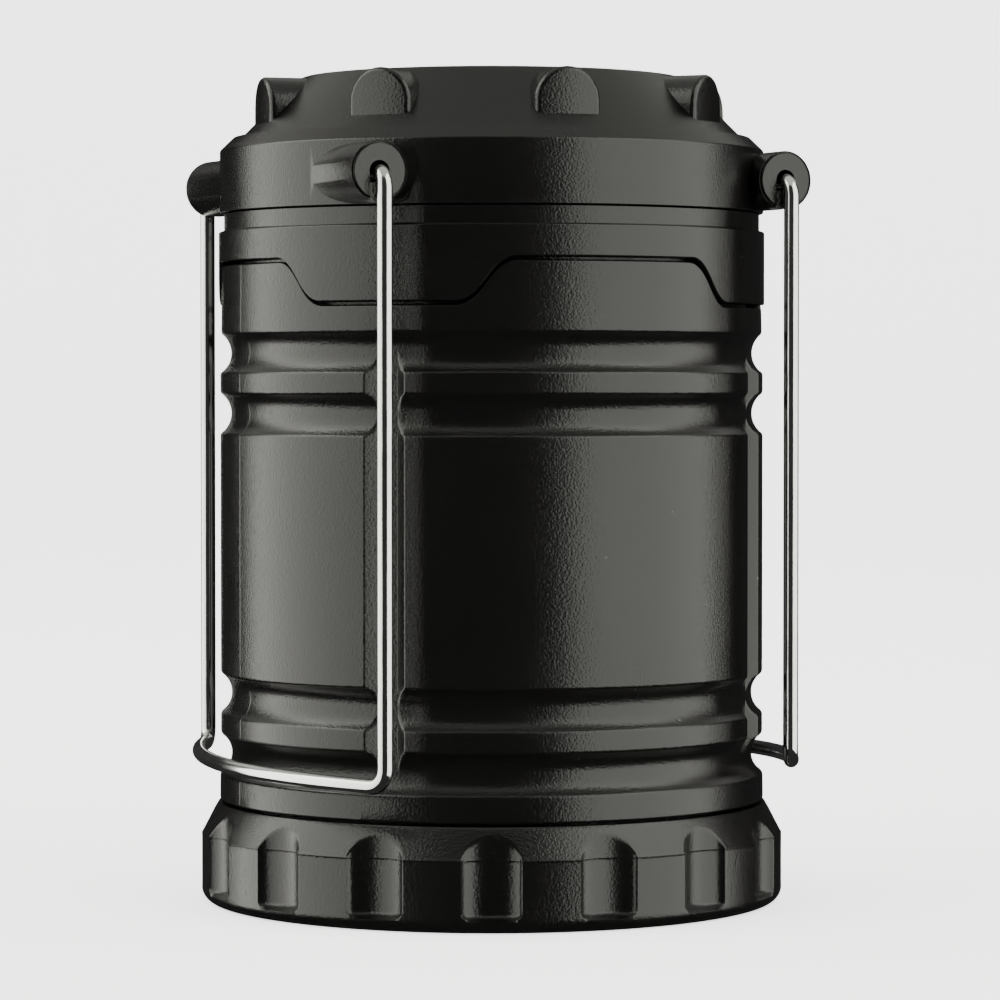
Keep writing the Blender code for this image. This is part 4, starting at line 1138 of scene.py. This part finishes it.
class LANTERN_OT_reflectors(Operator):
    """Spins the fluted lower dish and the ringed upper plate"""

    bl_idname = "lantern.reflectors"
    bl_label = "Reflectors"

    def execute(self, context):
        silver = silvered("silvered reflector")
        self.make_dish(silver)
        self.make_plate(silver)
        return {"FINISHED"}

    def make_dish(self, silver):
        thick = 0.9 * MM
        hole = 12.6 * MM
        flat = 23.6 * MM
        rim = DISH_HIGH.x
        base = DISH_LOW.z
        top = DISH_HIGH.z
        inside = [(hole, base + thick), (flat, base + thick)]
        curve = []
        for step in range(1, 17):
            share = step / 16.0
            bulge = 1.2 * MM * math.sin(math.pi * share)
            curve.append(
                (
                    flat + (rim - thick - flat) * share + bulge * 0.6,
                    base + thick + (top - base - thick) * share,
                )
            )
        outside = [(rim, top)]
        for step in range(1, 17):
            share = 1.0 - step / 16.0
            bulge = 1.2 * MM * math.sin(math.pi * share)
            outside.append(
                (flat + thick + (rim - flat - thick) * share + bulge * 0.6, base + (top - base) * share)
            )
        outside.append((hole, base))
        dish = lathe("lantern_lower_reflector", inside + curve + outside, 240)

        def fluted(radius, angle, height):
            share = np.clip((height - base - 2.0 * MM) / (top - base), 0.0, 1.0)
            return radius - 0.22 * MM * share * (1.0 + np.cos(angle * 40.0)), height

        press(dish, fluted)
        holes = []
        for third in range(3):
            angle = math.radians(30.0 + 120.0 * third)
            holes.append(
                new_primitive(
                    "hole", bpy.ops.mesh.primitive_cylinder_add, vertices=24, radius=1.35 * MM,
                    depth=6.0 * MM,
                    location=(20.4 * MM * math.cos(angle), 20.4 * MM * math.sin(angle), base),
                )
            )
        boolean(dish, settle(join(holes, "dish_holes")), "DIFFERENCE")
        finish_surface(dish, silver, "body", ["lower_reflector"], angle=40.0)

    def make_plate(self, silver):
        radius = PLATE_HIGH.x - 0.01 * MM
        low, high = PLATE_LOW.z, PLATE_HIGH.z
        outline = [(0.0, high, 0.0), (radius, high), (radius, low)]
        rings = 9
        for ring in range(rings):
            outer = radius - 1.5 * MM - ring * 2.0 * MM
            outline += [(outer, low, 0.15 * MM), (outer - 0.6 * MM, low + 0.35 * MM, 0.15 * MM)]
            outline += [(outer - 1.2 * MM, low + 0.35 * MM, 0.15 * MM), (outer - 1.5 * MM, low, 0.15 * MM)]
        outline.append((0.0, low, 0.0))
        plate = lathe("lantern_upper_reflector", rounded(outline, 0.2 * MM), 144, closed=False)
        finish_surface(plate, silver, "head", ["upper_reflector"], angle=40.0)


class LANTERN_OT_led_boards(Operator):
    """Builds the three LED boards with their LED chips and solder pads"""

    bl_idname = "lantern.led_boards"
    bl_label = "LED boards"

    led_count = 10

    def execute(self, context):
        mask = solder_mask("white solder mask", (0.80, 0.80, 0.77), (0.70, 0.70, 0.66))
        white = solder_mask("white LED housing", (0.86, 0.86, 0.84), (0.86, 0.86, 0.84))
        tin = metal("solder", (0.62, 0.62, 0.63), 0.3)
        gel = phosphor()
        for number in range(1, 4):
            low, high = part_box(f"led_board_{number}")
            board = self.make_board(low.z, high.z, (mask, white, tin, gel))
            board.name = f"lantern_led_board_{number}"
            board.data.transform(Matrix.Rotation(math.radians(90.0 + 120.0 * (number - 1)), 4, "Z"))
            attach(board, "head")
            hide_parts(f"led_board_{number}")
        return {"FINISHED"}

    def block(self, low, high, material, bevel):
        """A bevelled block between two corners."""
        low = Vector(low)
        high = Vector(high)
        part = new_primitive("block", bpy.ops.mesh.primitive_cube_add, size=1.0, location=(low + high) / 2.0)
        part.scale = high - low
        settle(part)
        bpy.ops.object.mode_set(mode="EDIT")
        bpy.ops.mesh.select_all(action="SELECT")
        bpy.ops.mesh.bevel(offset=bevel, segments=2)
        bpy.ops.object.mode_set(mode="OBJECT")
        part.data.materials.append(material)
        return part

    def make_board(self, low_z, high_z, materials):
        mask, white, tin, gel = materials
        face = 6.5 * MM
        parts = [self.block((5.5 * MM, -7.0 * MM, low_z), (face, 7.0 * MM, high_z), mask, 0.12 * MM)]
        pitch = (high_z - low_z) / self.led_count
        for led in range(self.led_count):
            height = low_z + pitch * (led + 0.5)
            parts.append(self.led(face, height, white, gel))
            for side in (-1.0, 1.0):
                inner, outer = sorted((side * 1.55 * MM, side * 2.35 * MM))
                pad_low = (face - 0.05 * MM, inner, height - 0.9 * MM)
                parts.append(
                    self.block(pad_low, (face + 0.14 * MM, outer, height + 0.9 * MM), tin, 0.05 * MM)
                )
        board = join(parts, "board")
        make_active(board)
        bpy.ops.object.shade_smooth_by_angle(angle=math.radians(35.0))
        return board

    def led(self, face, height, white, gel):
        """One LED: a white housing with a round well of phosphor in its face."""
        half = 1.4 * MM
        front = face + 0.75 * MM
        part = self.block(
            (face + 0.02 * MM, -half, height - half), (front, half, height + half), white, 0.15 * MM
        )
        part.data.materials.append(gel)
        bpy.ops.object.mode_set(mode="EDIT")
        bpy.ops.mesh.select_mode(type="FACE")
        select_faces(part, lambda spot: spot.normal.x > 0.99)
        bpy.ops.mesh.inset(thickness=0.22 * MM)
        bpy.ops.mesh.subdivide(number_cuts=2)
        bpy.ops.mesh.inset(thickness=0.05 * MM)
        bpy.ops.transform.translate(value=(-0.12 * MM, 0.0, 0.0))
        form = bmesh.from_edit_mesh(part.data)
        for spot in form.faces:
            if spot.select:
                spot.material_index = 1
        bmesh.update_edit_mesh(part.data)
        bpy.ops.object.mode_set(mode="OBJECT")
        return part


# ---------------------------------------------------------------- finishes of the kept nodes


class LANTERN_OT_inner_finishes(Operator):
    """Gives every kept inner node its worked material"""

    bl_idname = "lantern.inner_finishes"
    bl_label = "Inner finishes"

    def execute(self, context):
        finish = context.scene.lantern_finish
        inner = grained_plastic("matt inner plastic", finish, tone=2.2, rougher=0.2)
        brass = metal("brass contact strip", (0.78, 0.57, 0.27), 0.24, (700.0, 700.0, 120.0))
        steel = metal("zinc plated steel", (0.56, 0.57, 0.59), 0.30)
        aluminium = metal("extruded aluminium", (0.78, 0.79, 0.80), 0.34, (2400.0, 2400.0, 60.0))
        finishes = {
            "dark_inner_plastic": inner,
            "rubber_seal": rubber(),
            "cell_sleeve": cell_sleeve(),
            "brass_contact": brass,
            "plated_steel": steel,
            "aluminium_post": aluminium,
            "circuit_board": solder_mask("green solder mask", (0.02, 0.12, 0.05), (0.05, 0.22, 0.09)),
        }
        for entry in frame["record"]["subparts"]:
            node = frame["nodes"][entry["node"]]
            material = finishes.get(entry["material_slot"])
            if material:
                for slot in node.material_slots:
                    slot.material = material
        return {"FINISHED"}


# ---------------------------------------------------------------- stage


class LANTERN_OT_stage(Operator):
    """Sets the pale studio bowl, the soft lights and the camera"""

    bl_idname = "lantern.stage"
    bl_label = "Studio stage"

    camera_turn = math.radians(-25.0)
    camera_distance = 618.0 * MM
    camera_height = 76.7 * MM
    lens = 150.66
    sensor = 36.0
    light_colour = (0.99, 1.0, 0.92)
    aim_right = math.radians(0.115)
    aim_down = math.radians(1.654)
    floor_glow = 1.7
    air_grey = 0.03

    def execute(self, context):
        self.make_bowl(context.scene.lantern_finish)
        self.make_camera(context)
        self.make_lights(context)
        self.make_world(context)
        return {"FINISHED"}

    def facing(self, azimuth):
        """Horizontal unit vector at an azimuth counted from the camera's side, to its right."""
        angle = self.camera_turn + azimuth
        return Vector((math.sin(angle), -math.cos(angle), 0.0))

    def make_bowl(self, finish):
        """A floor that sweeps up into a low round wall."""
        outline = [(0.0, 0.0)]
        radius = 2.2
        sweep = 0.8
        for step in range(17):
            angle = math.pi / 2.0 * step / 16.0
            outline.append((radius + sweep * math.sin(angle), sweep * (1.0 - math.cos(angle))))
        outline.append((radius + sweep, 3.0))
        bowl = lathe("studio_bowl", outline, 96, closed=False)
        make_active(bowl)
        bpy.ops.object.mode_set(mode="EDIT")
        bpy.ops.mesh.select_all(action="SELECT")
        bpy.ops.mesh.flip_normals()
        bpy.ops.object.mode_set(mode="OBJECT")
        bpy.ops.object.shade_smooth()
        nodes = Nodes("pale studio floor")
        nodes.drive(colour=finish.floor_colour, roughness=0.85, specular=0.1)
        nodes.drive(emission=finish.floor_colour, emission_strength=self.floor_glow)
        bowl.data.materials.append(nodes.material)
        bowl.visible_glossy = False

    def make_camera(self, context):
        data = bpy.data.cameras.new("studio_camera")
        data.lens = self.lens
        data.sensor_width = self.sensor
        data.clip_start = 0.01
        data.clip_end = 20.0
        camera = bpy.data.objects.new("studio_camera", data)
        context.scene.collection.objects.link(camera)
        camera.location = self.facing(0.0) * self.camera_distance + Vector((0.0, 0.0, self.camera_height))
        forward = -self.facing(0.0)
        right = forward.cross(Vector((0.0, 0.0, 1.0)))
        aim = (
            forward
            + right * math.tan(self.aim_right)
            - Vector((0.0, 0.0, math.tan(self.aim_down)))
        )
        camera.rotation_mode = "QUATERNION"
        camera.rotation_quaternion = aim.to_track_quat("-Z", "Y")
        context.scene.camera = camera

    def softbox(self, context, name, azimuth, distance, height, size, power, fade=1.0):
        """A soft light facing the lantern, which fades towards one side to the given share."""
        data = bpy.data.lights.new(name, "AREA")
        data.shape = "RECTANGLE"
        data.size, data.size_y = size
        data.energy = power
        data.color = self.light_colour
        if fade < 1.0:
            self.fade_across(data, fade)
        light = bpy.data.objects.new(name, data)
        context.scene.collection.objects.link(light)
        light.location = self.facing(math.radians(azimuth)) * distance + Vector((0.0, 0.0, height))
        aim = Vector((0.0, 0.0, 0.0)) - light.location
        if distance > height:
            aim.z = 0.0
        light.rotation_mode = "QUATERNION"
        light.rotation_quaternion = aim.to_track_quat("-Z", "Y")
        light.visible_camera = False
        return light

    def fade_across(self, data, fade):
        """Fades a light from full at one side edge to the given share at the other."""
        data.use_nodes = True
        tree = data.node_tree
        emission = tree.nodes["Emission"]
        place = tree.nodes.new("ShaderNodeNewGeometry")
        split = tree.nodes.new("ShaderNodeSeparateXYZ")
        span = tree.nodes.new("ShaderNodeMapRange")
        for key, value in (("From Min", 0.1), ("From Max", 0.8), ("To Min", 1.0), ("To Max", fade)):
            span.inputs[key].default_value = value
        tree.links.new(place.outputs["Parametric"], split.inputs["Vector"])
        tree.links.new(split.outputs["X"], span.inputs["Value"])
        tree.links.new(span.outputs["Result"], emission.inputs["Strength"])

    def make_lights(self, context):
        self.softbox(context, "left_softbox", -81.5, 0.9, 0.5, (1.48, 1.8), 35.0, fade=0.52)
        self.softbox(context, "right_softbox", 69.5, 0.9, 0.5, (1.37, 1.8), 21.4)
        self.softbox(context, "overhead", 180.0, 0.35, 1.5, (3.4, 3.4), 22.0)

    def make_world(self, context):
        world = bpy.data.worlds.new("studio_air")
        world.use_nodes = True
        world.node_tree.nodes["Background"].inputs["Color"].default_value = (
            self.air_grey, self.air_grey, self.air_grey, 1.0
        )
        context.scene.world = world


# ---------------------------------------------------------------- panel and registration


class LANTERN_PT_pieces(Panel):
    """Lists the lantern's pieces in the sidebar"""

    bl_label = "Camping lantern"
    bl_space_type = "VIEW_3D"
    bl_region_type = "UI"
    bl_category = "Lantern"

    def draw(self, context):
        for group in (context.scene.lantern_sizes, context.scene.lantern_finish):
            box = self.layout.box()
            for name in group.bl_rna.properties.keys():
                if name not in ("rna_type", "name"):
                    box.prop(group, name)
        for operator in PIECE_OPERATORS:
            self.layout.operator(operator.bl_idname)


PIECE_OPERATORS = (
    LANTERN_OT_stage,
    LANTERN_OT_body_shell,
    LANTERN_OT_head_skirt,
    LANTERN_OT_base_cap,
    LANTERN_OT_top_cap,
    LANTERN_OT_bails,
    LANTERN_OT_lens_tube,
    LANTERN_OT_reflectors,
    LANTERN_OT_led_boards,
    LANTERN_OT_inner_finishes,
)
CLASSES = (LanternSizes, LanternFinish, *PIECE_OPERATORS, LANTERN_PT_pieces)


def register():
    for item in CLASSES:
        bpy.utils.register_class(item)
    bpy.types.Scene.lantern_sizes = PointerProperty(type=LanternSizes)
    bpy.types.Scene.lantern_finish = PointerProperty(type=LanternFinish)


def unregister():
    del bpy.types.Scene.lantern_finish
    del bpy.types.Scene.lantern_sizes
    for item in reversed(CLASSES):
        bpy.utils.unregister_class(item)


def main():
    register()
    for operator in PIECE_OPERATORS:
        group, action = operator.bl_idname.split(".")
        getattr(getattr(bpy.ops, group), action)()


if __name__ == "__main__":
    main()
